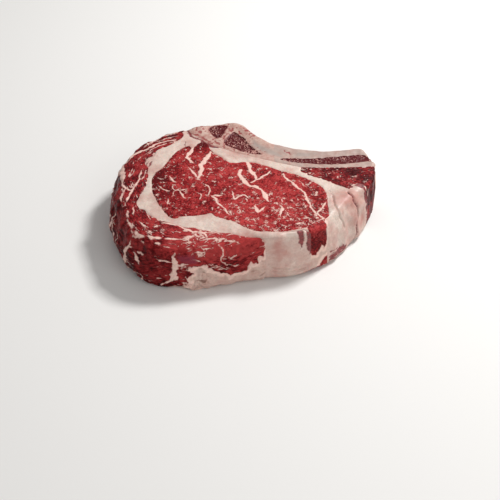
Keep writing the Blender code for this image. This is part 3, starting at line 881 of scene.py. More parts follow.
@dataclass
class SlabPiece:
    """One node of the steak with its fine surface.

    top_step is how fine its cut face is, rise how far that stands above the plain form, groove
    the depth of the line along each seam, and roughness that of the unevenness all over.
    """

    slab: Slab
    node: str
    slot: str
    finish: "Finish"
    top_step: float = TOP_STEP
    rise: float = 0.0
    groove: float = 0.14
    groove_width: float = 0.7
    roughness: float = 0.10

    def relief(self, at: Surface, marks: dict[str, np.ndarray]) -> np.ndarray:
        """How far the surface stands out past the slab's plain form, in millimetres."""
        return np.zeros(len(at.plan))

    def marks(self, at: Surface) -> dict[str, np.ndarray]:
        """The values that the finish reads at each vertex, by name."""
        return {}

    def _fill(self, loops: list[np.ndarray], step: float) -> np.ndarray:
        """Fills the region with plan points.

        Args:
            loops: the region's loops.
            step: about how far apart the points are.

        Returns:
            Rings of points over the rounded rim, then an even grid.
        """
        slab = self.slab
        plans = [loop[:, :2] for loop in loops]
        edge = np.vstack(plans)
        tree = finder(edge)
        along = np.arange(0, slab.count, step)
        out = slab.on_loop(along, slab.out)
        radius = np.maximum(slab.on_loop(along, slab.rims)[:, 0], FOOT_RADIUS)
        rings = []
        for k, turn in enumerate(np.radians(np.arange(RIM_TURN, 90, RIM_TURN))):
            shift = 0.5 * step * (k % 2)
            base = slab.on_loop(along + shift, slab.loop)
            rings.append(base - out * (radius * (1 - math.cos(turn)))[:, None])
        rings = np.vstack(rings)
        low, high = edge.min(axis=0), edge.max(axis=0)
        rows = np.arange(low[1], high[1], step * math.sqrt(0.75))
        grid = np.array([
            (x + 0.5 * step * (k % 2), y)
            for k, y in enumerate(rows) for x in np.arange(low[0], high[0], step)])
        gap, where = slab.nearest(grid)
        reach = np.maximum(slab.on_loop(where, slab.rims)[:, 0], FOOT_RADIUS)
        grid = grid[gap > GRID_START * reach]
        rings, grid = rings[inside(rings, plans)], grid[inside(grid, plans)]
        clear = np.minimum(SEAM_CLEAR * step, RIM_CLEAR * slab.nearest(rings)[0])
        rings = rings[gap_to(tree, rings) > clear]
        return np.vstack([rings, grid[gap_to(tree, grid) > SEAM_CLEAR * step]])

    @staticmethod
    def _triangles(points: np.ndarray, loops: list[np.ndarray]) -> np.ndarray:
        """Joins a region's points with triangles.

        Args:
            points: the loops' points in order, then those inside.
            loops: the region's loops, whose every edge is kept.

        Returns:
            Rows of three indices.
        """
        edges, start = [], 0
        for loop in loops:
            edges += [(start + i, start + (i + 1) % len(loop)) for i in range(len(loop))]
            start += len(loop)
        found, _, faces, *_ = delaunay_2d_cdt([tuple(p) for p in points], edges, [], 0, 1e-7)
        if len(found) != len(points):
            raise ValueError(f"{len(points)} plan points became {len(found)}")
        faces = np.array([face for face in faces if len(face) == 3])
        return faces[inside(points[faces].mean(axis=1), loops)]

    def _surface(self, plan: np.ndarray, level: np.ndarray, along: np.ndarray,
                 face: np.ndarray, seam_gap: np.ndarray) -> Surface:
        """Places the vertices in space and finds which way the plain form faces there.

        Args:
            plan: rows of two plan coordinates.
            level: each vertex's level in the slab.
            along: its place on the outline, nan away from it.
            face: its kind of place.
            seam_gap: its distance to the inner edges.

        Returns:
            The vertices with all that the marks and the relief read.
        """
        slab, reach = self.slab, 0.12
        gap, where = slab.nearest(plan)
        on_side = ~np.isnan(along)
        where = np.where(on_side, along, where)
        point = slab.place(plan, level)
        out = slab.on_loop(where, slab.out)
        turn = np.column_stack([-out[:, 1], out[:, 0]])
        d_along = slab.place(plan + reach * turn, level) - slab.place(plan - reach * turn, level)
        d_in = slab.place(plan - reach * out, level) - point
        flat = np.cross(d_along, d_in) * np.where(level < 0.5, -1.0, 1.0)[:, None]
        up, down = np.minimum(level + 0.01, 1), np.maximum(level - 0.01, 0)
        d_up = slab.place(plan, up) - slab.place(plan, down)
        steep = np.cross(d_along, d_up)
        normal = np.where(on_side[:, None], steep, flat)
        normal /= np.linalg.norm(normal, axis=1)[:, None]
        rim = slab.place(slab.on_loop(where, slab.loop), np.ones(len(where)))[:, 2]
        return Surface(plan, level, where, face, gap, seam_gap, rim, point, normal)

    def build(self) -> bpy.types.Object:
        """Makes the piece as a closed mesh with its marks and its material.

        Returns:
            The finished object.
        """
        loops = self.slab.region(self.node)
        ring = np.vstack(loops)
        plans = [loop[:, :2] for loop in loops]
        edge = len(ring)
        on_side = ~np.isnan(ring[:, 2])
        fills = [self._fill(loops, UNDER_STEP), self._fill(loops, self.top_step)]
        under, top = (
            self._triangles(np.vstack([ring[:, :2], fill]), plans) for fill in fills)
        rows = np.linspace(0, 1, ROWS)[1:-1]
        side_points = np.nonzero(on_side)[0]
        count = [edge + len(fills[0]), edge + len(fills[1])]
        plan = np.vstack([
            ring[:, :2], fills[0], ring[:, :2], fills[1],
            np.repeat(ring[side_points, :2], len(rows), axis=0)])
        level = np.concatenate([
            np.zeros(count[0]), np.ones(count[1]), np.tile(rows, len(side_points))])
        blank = [np.full(len(fill), np.nan) for fill in fills]
        along = np.concatenate([
            ring[:, 2], blank[0], ring[:, 2], blank[1],
            np.repeat(ring[side_points, 2], len(rows))])
        face = np.concatenate([
            np.full(count[0], Face.UNDER.value), np.full(count[1], Face.TOP.value),
            np.full(len(side_points) * len(rows), Face.SIDE.value)])
        face[~np.isnan(along)] = Face.SIDE.value
        at = self._surface(plan, level, along, face, self._to_seams(ring, plan))
        marks = self.marks(at)
        groove = self.groove * np.exp(-(at.seam_gap / self.groove_width) ** 2)
        # Low on the front the fat runs on over the seams, so there is no groove there.
        for name in ("fat_front", "eye_corner", "fat_corner"):
            groove *= 1 - hump(at.unrolled, (self.slab.corners[name], 6), 12.0)
        rough = self.roughness * noise(at.point, 3.0, 4)
        free = smooth(at.seam_gap, 0.0, 1.2)
        lift = (self.relief(at, marks) + self.rise * at.on(Face.TOP)) * free + rough - groove
        near_table = at.on(Face.UNDER) * smooth(at.gap, 1.0, FOOT_RADIUS)
        lift = lift * (1 - near_table)
        points = at.point + at.normal * lift[:, None]
        points[:, 2] = np.maximum(points[:, 2], 0.0)
        # Each point of the side has a column of vertices, from the underside to the cut face.
        starts = (0, count[0], sum(count))
        columns = {int(i): [int(i), *range(
            starts[2] + k * len(rows), starts[2] + (k + 1) * len(rows)), int(i) + starts[1]]
            for k, i in enumerate(side_points)}
        faces = [tuple(f[::-1]) for f in under.tolist()]
        faces += [tuple(f) for f in (top + starts[1]).tolist()]
        first = 0
        for loop in loops:
            for i in range(len(loop)):
                a, b = first + i, first + (i + 1) % len(loop)
                here = columns.get(a, [a, a + starts[1]])
                ahead = columns.get(b, [b, b + starts[1]])
                if len(here) == len(ahead):
                    faces += [
                        (here[r], ahead[r], ahead[r + 1], here[r + 1])
                        for r in range(len(here) - 1)]
                else:
                    faces.append((here[0], *ahead, *here[:0:-1]))
            first += len(loop)
        return self._object(points, faces, marks)

    def _to_seams(self, ring: np.ndarray, plan: np.ndarray) -> np.ndarray:
        """The distance from plan points to the region's inner edges.

        Args:
            ring: the rows of the region's loops.
            plan: rows of two plan coordinates.

        Returns:
            One distance for each row of the plan.
        """
        seam = ring[np.isnan(ring[:, 2]), :2]
        ends = ring[np.isin(ring[:, 2], list(self.slab.corners.values())), :2]
        return gap_to(finder(np.vstack([seam, ends])), plan)

    def _object(self, points: np.ndarray, faces: list, marks: dict) -> bpy.types.Object:
        """Turns the points and faces into an object that rides on the steak.

        Args:
            points: the vertices in millimetres.
            faces: each face's vertex numbers.
            marks: the values at each vertex, by name.

        Returns:
            The object.
        """
        mesh = bpy.data.meshes.new(self.node)
        shifted = (points - np.array([*CENTRE, 0.0])) * MM
        mesh.from_pydata(shifted.tolist(), [], faces)
        for name, values in marks.items():
            kind, key = ("FLOAT_VECTOR", "vector") if values.ndim == 2 else ("FLOAT", "value")
            layer = mesh.attributes.new(name, kind, "POINT")
            layer.data.foreach_set(key, values.astype(np.float32).ravel())
        mesh.shade_smooth()
        mesh.set_sharp_from_angle(angle=math.radians(SHARP))
        mesh.materials.append(self.finish.material())
        piece = bpy.data.objects.new("visual_" + self.node, mesh)
        bpy.context.scene.collection.objects.link(piece)
        return seat(piece, self.slot, self.node)


def seat(piece: bpy.types.Object, slot: str, *nodes: str) -> bpy.types.Object:
    """Ties a finished piece to the steak, and hides the CAD nodes that it stands for.

    Args:
        piece: the object.
        slot: the slot's name, which is not used.
        nodes: the CAD nodes that it replaces.

    Returns:
        The same object.
    """
    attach(piece, "root")
    if nodes:
        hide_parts(*nodes)
    log.info("%s: %d vertices, %d faces", piece.name, len(piece.data.vertices),
             len(piece.data.polygons))
    return piece


@dataclass
class EyeMuscle(SlabPiece):
    """The large round muscle, with its marbling."""

    def marks(self, at: Surface) -> dict[str, np.ndarray]:
        """Marks the veins and their marbling.

        Args:
            at: the piece's vertices.

        Returns:
            Depth inside the fat, how dense the marbling is, tone, side, fibres and flecks. The
            side darkening is partly drying and partly painted shade.
        """
        warp = wander(at.point, 0.55, 3.0, 21) + wander(at.point, 0.3, 1.2, 23)
        veins = within_veins(at.plan + warp, EYE_VEINS)
        nibs = 0.9 * noise(at.point, 1.8, 27, 2) - 0.25 - at.seam_gap
        veins = np.maximum(veins, np.where(at.on(Face.TOP) > 0, nibs, OUTSIDE))
        wall = -within_patches(at.unrolled + 1.2 * warp, EYE_SIDE_LEAN)
        outer = (at.gap < 4.0) & (at.face != Face.UNDER.value)
        x, y = at.plan.T
        dense = 0.385 + 0.055 * smooth(x, -25, 35) * smooth(-y, 5, 40)
        dense += 0.05 * noise(at.point, 14.0, 25) - 0.3 * outer
        dense -= 0.08 * hump(at.plan, (-34, 46), 10.0)
        tone = noise(at.point, 24.0, 26, 2) - 2.8 * hump(at.plan, (-33.5, 47), 8.0)
        tone = tone + 1.5 * smooth(x, -55, 0) - 0.6
        tone = tone - 0.8 * hump(at.plan, (50, 2), 9.0)
        inner = np.where(at.on(Face.SIDE) > 0, OUTSIDE, veins)
        # The extra flecks round (-36, 49) stand in for glints of light there: painted highlight.
        fleck = np.clip(dense * 6.0 - 2.1 + hump(at.plan, (-36, 49), 3.5), 0, 1)
        return {
            "fat_depth": np.where(outer, wall, inner), "dense": dense,
            "side": at.on(Face.SIDE), "tone": tone, "membrane": np.full(len(x), OUTSIDE),
            "fibre": at.point, "fleck": at.on(Face.TOP) * fleck}

    def relief(self, at: Surface, marks: dict[str, np.ndarray]) -> np.ndarray:
        """Soft swells, muscle bundles and the veins, which stand a little proud.

        Args:
            at: the piece's vertices.
            marks: their marks.

        Returns:
            How far each vertex stands out, in millimetres.
        """
        bundles = 0.13 * noise(at.point, 1.9, 31, 2)
        swells = 0.25 * noise(at.point, 10.0, 32)
        veins = 0.22 * smooth(marks["fat_depth"], -0.5, 0.5)
        return bundles + swells + veins


@dataclass
class CapMuscle(SlabPiece):
    """The muscle that wraps the eye, out to the steak's rough left and front side.

    The numbers are places along the outline: where the back ends, where the left side, darker
    from drying and painted shade, ends, from where the fat on the side is wrinkled and darker
    in its creases, partly painted shade, where the shreds of fat end, and where the side turns
    smooth at the front, where its painted shade fades and painted light lifts its upper part.
    """

    BACK_END = 60
    LEFT_END = 110
    WRINKLED = 140
    SHREDS_END = 205
    FRONT = (185.0, 225.0)

    def marks(self, at: Surface) -> dict[str, np.ndarray]:
        """Marks the fat on its cut face and its side, and the membrane.

        Args:
            at: the piece's vertices.

        Returns:
            Depth inside the fat and the membrane, marbling, tone, side, fibres and flecks. The
            tone is painted light high on the front, and partly painted shade in the wrinkled fat
            of the side;
            the side darkening is partly drying and partly painted shade.
        """
        warp = wander(at.point, 0.8, 3.0, 41) + wander(at.point, 0.4, 1.3, 43)
        face = within_veins(at.plan + 0.6 * warp, CAP_VEINS)
        fingers = 1.5 * noise(at.point, 2.4, 47, 2) - 0.8 - at.seam_gap
        face = np.maximum(face, fingers)
        cut = 1 - at.on(Face.SIDE)
        spread = at.unrolled + 1.2 * warp
        side = np.maximum(within_veins(spread, SIDE_VEINS), within_patches(spread, SIDE_FAT))
        shreds = 2.2 * noise(at.run, (6.0, 1.8, 1.0), 48, 2) - 2.1 - 0.9 * at.gap * cut
        shreds = shreds - 0.4 * (at.along < self.LEFT_END)
        side = np.maximum(side, np.where(at.along < self.SHREDS_END, shreds, OUTSIDE))
        back = 1.8 * noise(at.point, 3.2, 59, 2) + 0.2 - at.seam_gap
        behind = (at.along < self.BACK_END) & (at.on(Face.SIDE) > 0)
        side = np.maximum(side, np.where(behind, back, OUTSIDE))
        on_face = (cut > 0) | (at.level > 0.9)
        near = np.where(at.gap < SIDE_REACH, side, OUTSIDE)
        fat = np.where(on_face, np.maximum(face, near), side)
        # The side mark: full on the side round the back and left and near its rim, fading at the
        # front, a little towards the back of the cut face, and low on the front side. On the side
        # it is partly drying and partly painted shade; low on the front it is painted shade near
        # the table.
        wall = 1 - cut * smooth(at.gap, 1.0, 10.0)
        front = smooth(at.along, *self.FRONT)
        dark = wall * (1 - front) + 0.2 * (1 - front) * smooth(at.plan[:, 1], 0, 40)
        dark = dark + 0.3 * front * at.on(Face.SIDE) * smooth(-at.point[:, 2], -26.0, -12.0)
        dense = 0.375 - 0.08 * wall * (1 - front) + 0.06 * noise(at.point, 12.0, 45)
        dense = dense + 0.08 * hump(at.plan, (-20, -66), 14.0)
        # More threads high on the front of the lobe, where its rim catches the light: partly
        # painted highlight.
        dense = dense + 0.16 * hump(at.unrolled, (213, 38), 13.0)
        dense = dense + 0.05 * hump(at.unrolled, (240, 38), 13.0)
        dense = dense - 0.20 * hump(at.unrolled, (246, 19), 10.0)
        # The tone rises high on the front side, so the lean is lighter there: painted light on the
        # lobe's rim.
        tone = noise(at.point, 14.0, 46, 2) + 3.4 * front * smooth(at.unrolled[:, 1], 18, 32)
        # On the side's fat the tone sets how greyish brown it turns: painted shade in the creases
        # of the wrinkled fat, and a brown stain with scraps near the lobe's left end.
        wrinkle_shade_and_stain = 0.9 * noise(at.run, (9.0, 1.5, 1.0), 57, 2) + 0.5 * noise(at.point, 3.0, 58, 2)
        scraps = noise(at.run, (5.0, 2.2, 1.0), 60, 2)
        wrinkle_shade_and_stain = wrinkle_shade_and_stain + (0.6 + 1.9 * scraps) * hump(at.unrolled, (212, 12), 10.0)
        wrinkle_shade_and_stain = np.where(at.along > self.WRINKLED, wrinkle_shade_and_stain, np.maximum(tone, -0.4))
        tone = np.where((at.on(Face.SIDE) > 0) & (fat > 0.6), wrinkle_shade_and_stain, tone)
        membrane = within_patches(at.unrolled + 0.5 * warp, MEMBRANE)
        return {
            "fat_depth": fat, "dense": dense, "side": np.clip(dark, 0, 1), "tone": tone,
            "membrane": membrane, "fibre": at.run * np.array([0.36, 1.0, 1.0]),
            "fleck": at.on(Face.TOP) * np.clip(dense * 6.0 - 2.1, 0, 1)}

    def relief(self, at: Surface, marks: dict[str, np.ndarray]) -> np.ndarray:
        """Muscle bundles on the cut face; folds, tatters and lumps of fat on the side.

        Args:
            at: the piece's vertices.
            marks: their marks.

        Returns:
            How far each vertex stands out, in millimetres.
        """
        bundles = 0.16 * noise(at.run, (3.6, 1.8, 1.0), 51, 2) + 0.3 * noise(at.point, 9.0, 52)
        wall = 1 - (1 - at.on(Face.SIDE)) * smooth(at.gap, 1.0, 9.0)
        rough = 1 - 0.6 * smooth(at.along, 195.0, 230.0)
        tatters = 0.75 * rough * noise(at.run, (8.0, 3.4, 1.0), 53, 2)
        tatters = tatters + 0.3 * noise(at.run, (4.0, 1.3, 1.0), 55, 2)
        fat = smooth(marks["fat_depth"], -0.7, 0.7)
        lumps_of_fat = fat * (0.55 + 0.5 * noise(at.point, 3.0, 54))
        lumps_of_fat += 0.45 * fat * noise(at.run, (9.0, 1.7, 1.0), 57, 2)
        calm = smooth(marks["membrane"], -1.0, 1.0)
        sunk = -0.5 * calm
        ragged = 2.6 * hump(at.unrolled, (210, 10), 9.0) * np.abs(noise(at.point, 3.0, 56, 2))
        side = wall * (tatters * (1 - 0.8 * calm) + lumps_of_fat)
        return ragged + bundles * (1 - calm) + side + 0.2 * fat + sunk


@dataclass
class RibLean(SlabPiece):
    """The dark lean between the ribs."""

    def marks(self, at: Surface) -> dict[str, np.ndarray]:
        """Marks thin streaks of fat that run along it, and upright ones on its side.

        Args:
            at: the piece's vertices.

        Returns:
            Depth inside the fat, how dense the marbling is, tone, side, fibres and flecks. On its
            end the side darkening is partly drying and partly painted shade.
        """
        upright = 2.4 * noise(at.point, (1.5, 1.5, 22.0), 62, 2) - 2.0
        specks = 1.4 * noise(at.point, (3.4, 1.3, 2.6), 61, 2) - 1.5
        ragged = 1.3 * noise(at.point, 2.2, 67, 2) - 0.2 - at.seam_gap
        depth = np.where(at.face == Face.SIDE.value, upright, np.maximum(specks, ragged))
        side = at.on(Face.SIDE)
        return {
            "fat_depth": depth, "dense": 0.34 - 0.2 * side + 0.06 * noise(at.point, 9.0, 63),
            # The side mark darkens the lean a little on its cut face and more on its end, where
            # that is partly drying and partly painted shade.
            "side": 0.35 + 0.45 * side, "tone": 1.6 * noise(at.point, 7.0, 64, 2) - 0.6,
            "membrane": np.full(len(depth), OUTSIDE),
            "fibre": at.point * np.array([0.7, 1.1, 0.7]), "fleck": 0.35 * at.on(Face.TOP)}

    def relief(self, at: Surface, marks: dict[str, np.ndarray]) -> np.ndarray:
        """Coarse fibres, and upright folds at the end.

        Args:
            at: the piece's vertices.
            marks: their marks, which are not used.

        Returns:
            How far each vertex stands out, in millimetres.
        """
        fibres = 0.26 * noise(at.point, (3.0, 1.6, 5.0), 65, 2)
        folds = 0.55 * noise(at.point, (2.6, 2.6, 22.0), 66, 2)
        return np.where(at.face == Face.SIDE.value, folds, fibres)


@dataclass
class FatBody(SlabPiece):
    """The kernel of fat round the eye, the band along the bone and the thick right corner."""

    # Where the side is pinker, or paler where less than 0: the centre along the outline and up
    # the side, the reach and the amount.
    # The paler spot at (324, 30) is partly a painted highlight along a ridge of the corner.
    FLUSHES = (
        ((342, 38), 8.0, 0.6), ((352, 18), 9.0, 0.4), ((269, 30), 4.0, 0.5),
        ((276, 24), 5.0, 0.4), ((324, 30), 4.5, -0.5), ((345, 28), 3.0, -0.3),
        ((312, 14), 7.0, 0.35))

    def marks(self, at: Surface) -> dict[str, np.ndarray]:
        """Marks the lean that shows through, the flush and the creases.

        Args:
            at: the piece's vertices.

        Returns:
            Depth inside the lean, how pink the fat is, how grey it is (partly damp fat, partly
            painted shade), and the gap to a crease.
        """
        warp = wander(at.point, 0.8, 3.0, 71) + wander(at.point, 0.3, 1.2, 78)
        spread = at.unrolled
        lean = within_patches(spread + warp, SIDE_LEAN)
        crease = away_from(spread + 0.6 * warp, SIDE_CREASES)
        streaks = np.minimum(lean, 1.6) - 2.8 * np.abs(noise(at.run, (10.0, 1.4, 1.0), 68, 2))
        lean = np.where(spread[:, 1] < 16, streaks, lean)
        # Red-brown lines along the first two creases: partly lean in them, partly painted shade in
        # the creases.
        lean = np.maximum(lean, 0.5 - away_from(spread + 0.6 * warp, SIDE_CREASES[:1]))
        lean = np.maximum(lean, -0.1 - away_from(spread + 0.6 * warp, SIDE_CREASES[1:2]))
        face = within_veins(at.plan + 0.8 * warp, FAT_LEAN)
        shows = (at.face == Face.SIDE.value) | (at.gap < 9.0 + 12.0 * (at.along > 325))
        lean = np.where(shows, lean, OUTSIDE)
        lean = np.maximum(lean, np.where(at.face == Face.TOP.value, face, OUTSIDE))
        lean = np.where(at.face == Face.UNDER.value, OUTSIDE, lean)
        pink = 0.36 + 0.34 * noise(at.point, 11.0, 73, 3)
        pink += 0.22 * smooth(-at.run[:, 1], -7.0, 6.0)
        pink += 0.22 * (1 - smooth(at.seam_gap, 0.0, 1.2)) * at.on(Face.TOP)
        for centre, reach, amount in self.FLUSHES:
            pink += amount * hump(spread, centre, reach) * shows
        joined = at.on(Face.SIDE) * np.exp(-(at.seam_gap / 4.0) ** 2)
        pink = pink * (1 - joined) + 0.58 * joined
        # The right corner's fat is greyer: partly damp fat, partly painted shade.
        grey_and_shade = between(at.along, (306.0, 318.0), (356.0, 368.0)) * shows * (1 - joined)
        return {"lean_depth": lean, "pink": pink, "grey_and_shade": grey_and_shade, "crease": crease}

    def relief(self, at: Surface, marks: dict[str, np.ndarray]) -> np.ndarray:
        """Soft lobules, and the uneven side with its creases.

        Args:
            at: the piece's vertices.
            marks: their marks.

        Returns:
            How far each vertex stands out, in millimetres.
        """
        lobules = 0.16 * noise(at.point, 4.2, 74, 2) + 0.25 * noise(at.point, 11.0, 75)
        uneven = 0.45 * noise(at.point, (8.0, 8.0, 12.0), 76, 2)
        folds = between(at.along, (304.0, 314.0), (356.0, 366.0))
        uneven += 0.35 * folds * noise(at.run, (7.0, 12.0, 1.0), 70, 2)
        worn = 1.8 * folds * np.exp(-(at.run[:, 1] / 4.5) ** 2)
        uneven += 0.32 * (1 - folds) * noise(at.run, (12.0, 2.4, 1.0), 69, 2)
        crease = np.exp(-(marks["crease"] / 0.9) ** 2)
        flap = between(at.along, (337.0, 346.5), (347.0, 348.5))
        side = at.on(Face.SIDE) + at.on(Face.TOP) * (1 - smooth(at.gap, 0.5, 5.0))
        creased = at.on(Face.SIDE) + at.on(Face.TOP) * (1 - smooth(at.gap, 10.0, 20.0))
        rolls = 0.9 * folds * noise(at.point, 9.0, 77) * (1 - smooth(at.gap, 4.0, 16.0))
        sunk = 0.25 * smooth(marks["lean_depth"], -0.5, 0.5)
        side = side * (uneven + 0.5 * flap)
        return lobules + side + rolls - 1.1 * creased * crease - sunk - worn


@dataclass
class RibBone(SlabPiece):
    """The sawn vertebra and rib.

    In its cut face are larger stains of blood, two thin trails of it, a sprinkle by the gristle
    and some round the marrow, all in the plan.
    """

    STAINS = (
        [(-5, 71), (2, 68), (7, 60), (9, 54), (4, 53), (-1, 62)],
        [(29.5, 38), (34.5, 37), (34, 34), (30, 34.5)],
        [(-46, 69), (-30, 73), (-28, 66), (-36, 62), (-44, 66)])
    TRAILS = (
        Vein(2.8, [(-44, 62), (-39, 60), (-35, 57), (-31, 53), (-27, 49)]),
        Vein(1.0, [(-25, 56), (-22, 53), (-19, 54), (-16, 60), (-13, 67), (-14.5, 75)]))
    SPRINKLE = (
        [(6, 45), (9, 36), (18, 31), (28, 27), (36, 27), (36, 31), (24, 35), (12, 44)],)
    ROUND_MARROW = (
        [(-33, 74), (-12, 76), (-6, 67), (3, 52), (14, 36), (2, 33), (-10, 39), (-19, 44),
         (-28, 54), (-33, 64)],)
    GRISTLE = (
        [(4, 46), (10, 39), (18, 33), (27, 29), (31, 31), (24, 37), (12, 45), (6, 52)],
        [(35, 30), (50, 30), (52, 35), (40, 36)])

    def marks(self, at: Surface) -> dict[str, np.ndarray]:
        """Marks the blood in the bone, and the grey gristle on its cut face and its back.

        Args:
            at: the piece's vertices.

        Returns:
            Depth inside the blood and inside the grey.
        """
        spots = 2.4 * noise(at.point, 1.7, 81, 2) - 1.2
        blood = np.minimum(1.2, within_patches(at.plan, self.STAINS)) + spots
        trail = within_veins(at.plan, self.TRAILS)
        blood = np.maximum(blood, trail + 0.25 * spots + 0.6)
        sprinkle = within_patches(at.plan, self.SPRINKLE)
        blood = np.maximum(blood, np.minimum(sprinkle, 0.3) + 0.6 * spots - 0.5)
        near = within_patches(at.plan, self.ROUND_MARROW)
        blood = np.maximum(blood, np.minimum(near, 0.5) + 0.8 * spots + 0.15)
        seam = 0.8 - 1.1 * at.seam_gap + 0.5 * noise(at.point, 3.0, 88)
        blood = np.maximum(blood, np.where(at.plan[:, 0] < -8, seam, OUTSIDE))
        grey = within_patches(at.plan, self.GRISTLE)
        worn = 0.7 * noise(at.point, 4.0, 85, 2) + 0.4
        grey = np.maximum(grey, np.where(at.plan[:, 0] > 22, worn, OUTSIDE))
        top, back = at.face == Face.TOP.value, at.face == Face.SIDE.value
        streaks = 1.7 * noise(at.run, (20.0, 5.0, 1.0), 86, 3) - 1.0
        return {
            "blood": np.where(top, blood, np.where(back, streaks, OUTSIDE)),
            "grey": np.where(top, grey, np.where(back, 1.5 * worn - 1.0, OUTSIDE))}

    def relief(self, at: Surface, marks: dict[str, np.ndarray]) -> np.ndarray:
        """Saw lines and pits in the cut, a raised back edge, and scraps of tissue on the back.

        Args:
            at: the piece's vertices.
            marks: their marks.

        Returns:
            How far each vertex stands out, in millimetres.
        """
        saw = 0.05 * np.sin(at.point[:, 1] * 2.6 + 0.5 * noise(at.point, 9.0, 82))
        scraps = 0.35 * noise(at.point, (8.0, 8.0, 3.0), 83, 2)
        scraps += 0.5 * noise(at.run, (26.0, 10.0, 1.0), 87, 2)
        pits = -0.25 * smooth(marks["blood"], 0.3, 1.4)
        lip = 1.2 * (1 - smooth(at.gap, 3.0, 12.0)) * smooth(at.level, 0.55, 1.0)
        lip = lip * smooth(at.seam_gap, 0.0, 6.0)
        return saw + 0.14 * noise(at.point, 5.0, 84) + pits + lip + at.on(Face.SIDE) * scraps


@dataclass
class Marrow(SlabPiece):
    """An island of spongy bone, its cells open where the saw went through."""

    cell: float = 1.9

    def marks(self, at: Surface) -> dict[str, np.ndarray]:
        """Marks the sponge's cells and how pale it is.

        Args:
            at: the piece's vertices.

        Returns:
            How deep in a cell each vertex lies, and how pale it is there.
        """
        size = (self.cell * 1.6, self.cell, self.cell) if self.node == "marrow_rib" else self.cell
        pit = np.abs(noise(at.point, size, 91)) + 0.4 * np.abs(noise(at.point, 0.8, 92))
        pale = 0.9 * noise(at.point, 4.0, 94, 2) + 0.5 * (1 - smooth(at.seam_gap, 0.0, 1.2))
        pale = pale + 1.2 * smooth(at.plan[:, 0], -9, 10) * (self.node == "marrow_neck")
        pale = pale - {"marrow_knob": 0.8, "marrow_rib": 0.5}.get(self.node, 0.2)
        return {"pit": 1 - smooth(pit, 0.05, 0.6), "pale": pale}

    def relief(self, at: Surface, marks: dict[str, np.ndarray]) -> np.ndarray:
        """Thin walls between sunken cells.

        Args:
            at: the piece's vertices.
            marks: their marks.

        Returns:
            How far each vertex stands out, in millimetres.
        """
        return 0.55 * marks["pit"] - 0.3 + 0.3 * noise(at.point, 5.0, 93)


def linear(code: str) -> tuple[float, float, float, float]:
    """An sRGB hex value as the linear colour that a shader takes."""
    parts = [int(code[i:i + 2], 16) / 255 for i in (1, 3, 5)]
    return (*(p / 12.92 if p <= 0.04045 else ((p + 0.055) / 1.055) ** 2.4 for p in parts), 1.0)


def feed(node: bpy.types.Node, inputs: dict) -> None:
    """Sets a node's inputs.

    Args:
        node: the node.
        inputs: a value, or an output to link, for each input by name or number.
    """
    for key, value in inputs.items():
        if isinstance(value, bpy.types.NodeSocket):
            node.id_data.links.new(value, node.inputs[key])
        else:
            node.inputs[key].default_value = value


def add(tree: bpy.types.NodeTree, kind: str, inputs: dict | None = None,
        **settings: object) -> bpy.types.Node:
    """Adds a node with its settings, values and links.

    Args:
        tree: the node tree it goes in.
        kind: the node's type name.
        inputs: what feed() gives it.
        settings: the node's own properties.

    Returns:
        The node.
    """
    node = tree.nodes.new(kind)
    for name, value in settings.items():
        setattr(node, name, value)
    feed(node, inputs or {})
    return node


@dataclass(frozen=True)
class Finish:
    """A finish with the base of every material: coordinates in millimetres and a shader."""

    name: str

    def material(self) -> bpy.types.Material:
        """The finish as a material, which each kind of finish makes in its own way."""
        raise NotImplementedError(self.name)

    def start(self) -> tuple[bpy.types.Material, bpy.types.NodeSocket, bpy.types.Node]:
        """Starts a material.

        Returns:
            The material, its coordinates in millimetres and its shader.
        """
        material = bpy.data.materials.new(self.name)
        material.use_nodes = True
        tree = material.node_tree
        shader = tree.nodes["Principled BSDF"]
        spot = add(tree, "ShaderNodeTexCoord").outputs["Object"]
        spot = add(tree, "ShaderNodeVectorMath", {0: spot, "Scale": 1 / MM}, operation="SCALE")
        return material, spot.outputs[0], shader

    @staticmethod
    def mark(tree: bpy.types.NodeTree, name: str) -> bpy.types.NodeSocket:
        """A mark that the mesh carries."""
        return add(tree, "ShaderNodeAttribute", attribute_name=name).outputs["Fac"]


@dataclass(frozen=True)
class FattyFinish(Finish):
    """A finish with thick fat in it: cream, flushed with pink, with grey patches that are partly
    damp fat and partly painted shade.
    """

    cream: str = "#DCC6B9"
    flushed: str = "#BB877C"
    # The grey of damp fat, which on the right corner is also painted shade.
    grey: str = "#B3A095"

    def thick_fat(self, tree: bpy.types.NodeTree, spot: bpy.types.NodeSocket,
                  pink: bpy.types.NodeSocket | float, grey_and_shade: bpy.types.NodeSocket | float,
                  ) -> tuple[bpy.types.NodeSocket, bpy.types.NodeSocket]:
        """The colour of thick fat.

        Args:
            tree: the material's tree.
            spot: the coordinates in millimetres.
            pink: how flushed it is.
            grey_and_shade: how grey it is, partly damp fat and partly painted shade.

        Returns:
            The colour, and the fine noise in it.
        """
        # Lobules 5 mm wide, and a finer unevenness of 1.3 mm.
        cloud = add(tree, "ShaderNodeTexNoise", {
            "Vector": spot, "Scale": 0.2, "Detail": 5.0, "Roughness": 0.65}).outputs["Fac"]
        pink = add(tree, "ShaderNodeMath", {0: pink, 1: cloud})
        pink = add(tree, "ShaderNodeMapRange", {
            0: pink.outputs[0], "From Min": 0.7, "From Max": 1.6}).outputs[0]
        fine = add(tree, "ShaderNodeTexNoise", {
            "Vector": spot, "Scale": 0.75, "Detail": 4.0, "Roughness": 0.65}).outputs["Fac"]
        grey_and_shade = add(tree, "ShaderNodeMath", {0: grey_and_shade, 1: 0.16, 2: fine},
                   operation="MULTIPLY_ADD").outputs[0]
        grey_and_shade = add(tree, "ShaderNodeMapRange", {
            0: grey_and_shade, "From Min": 0.42, "From Max": 0.75, "To Max": 0.65}).outputs[0]
        base = add(tree, "ShaderNodeMix", {
            "Factor": grey_and_shade, 6: linear(self.cream), 7: linear(self.grey)}, data_type="RGBA")
        base = add(tree, "ShaderNodeMix", {
            "Factor": pink, 6: base.outputs[2], 7: linear(self.flushed)}, data_type="RGBA")
        return base.outputs[2], fine


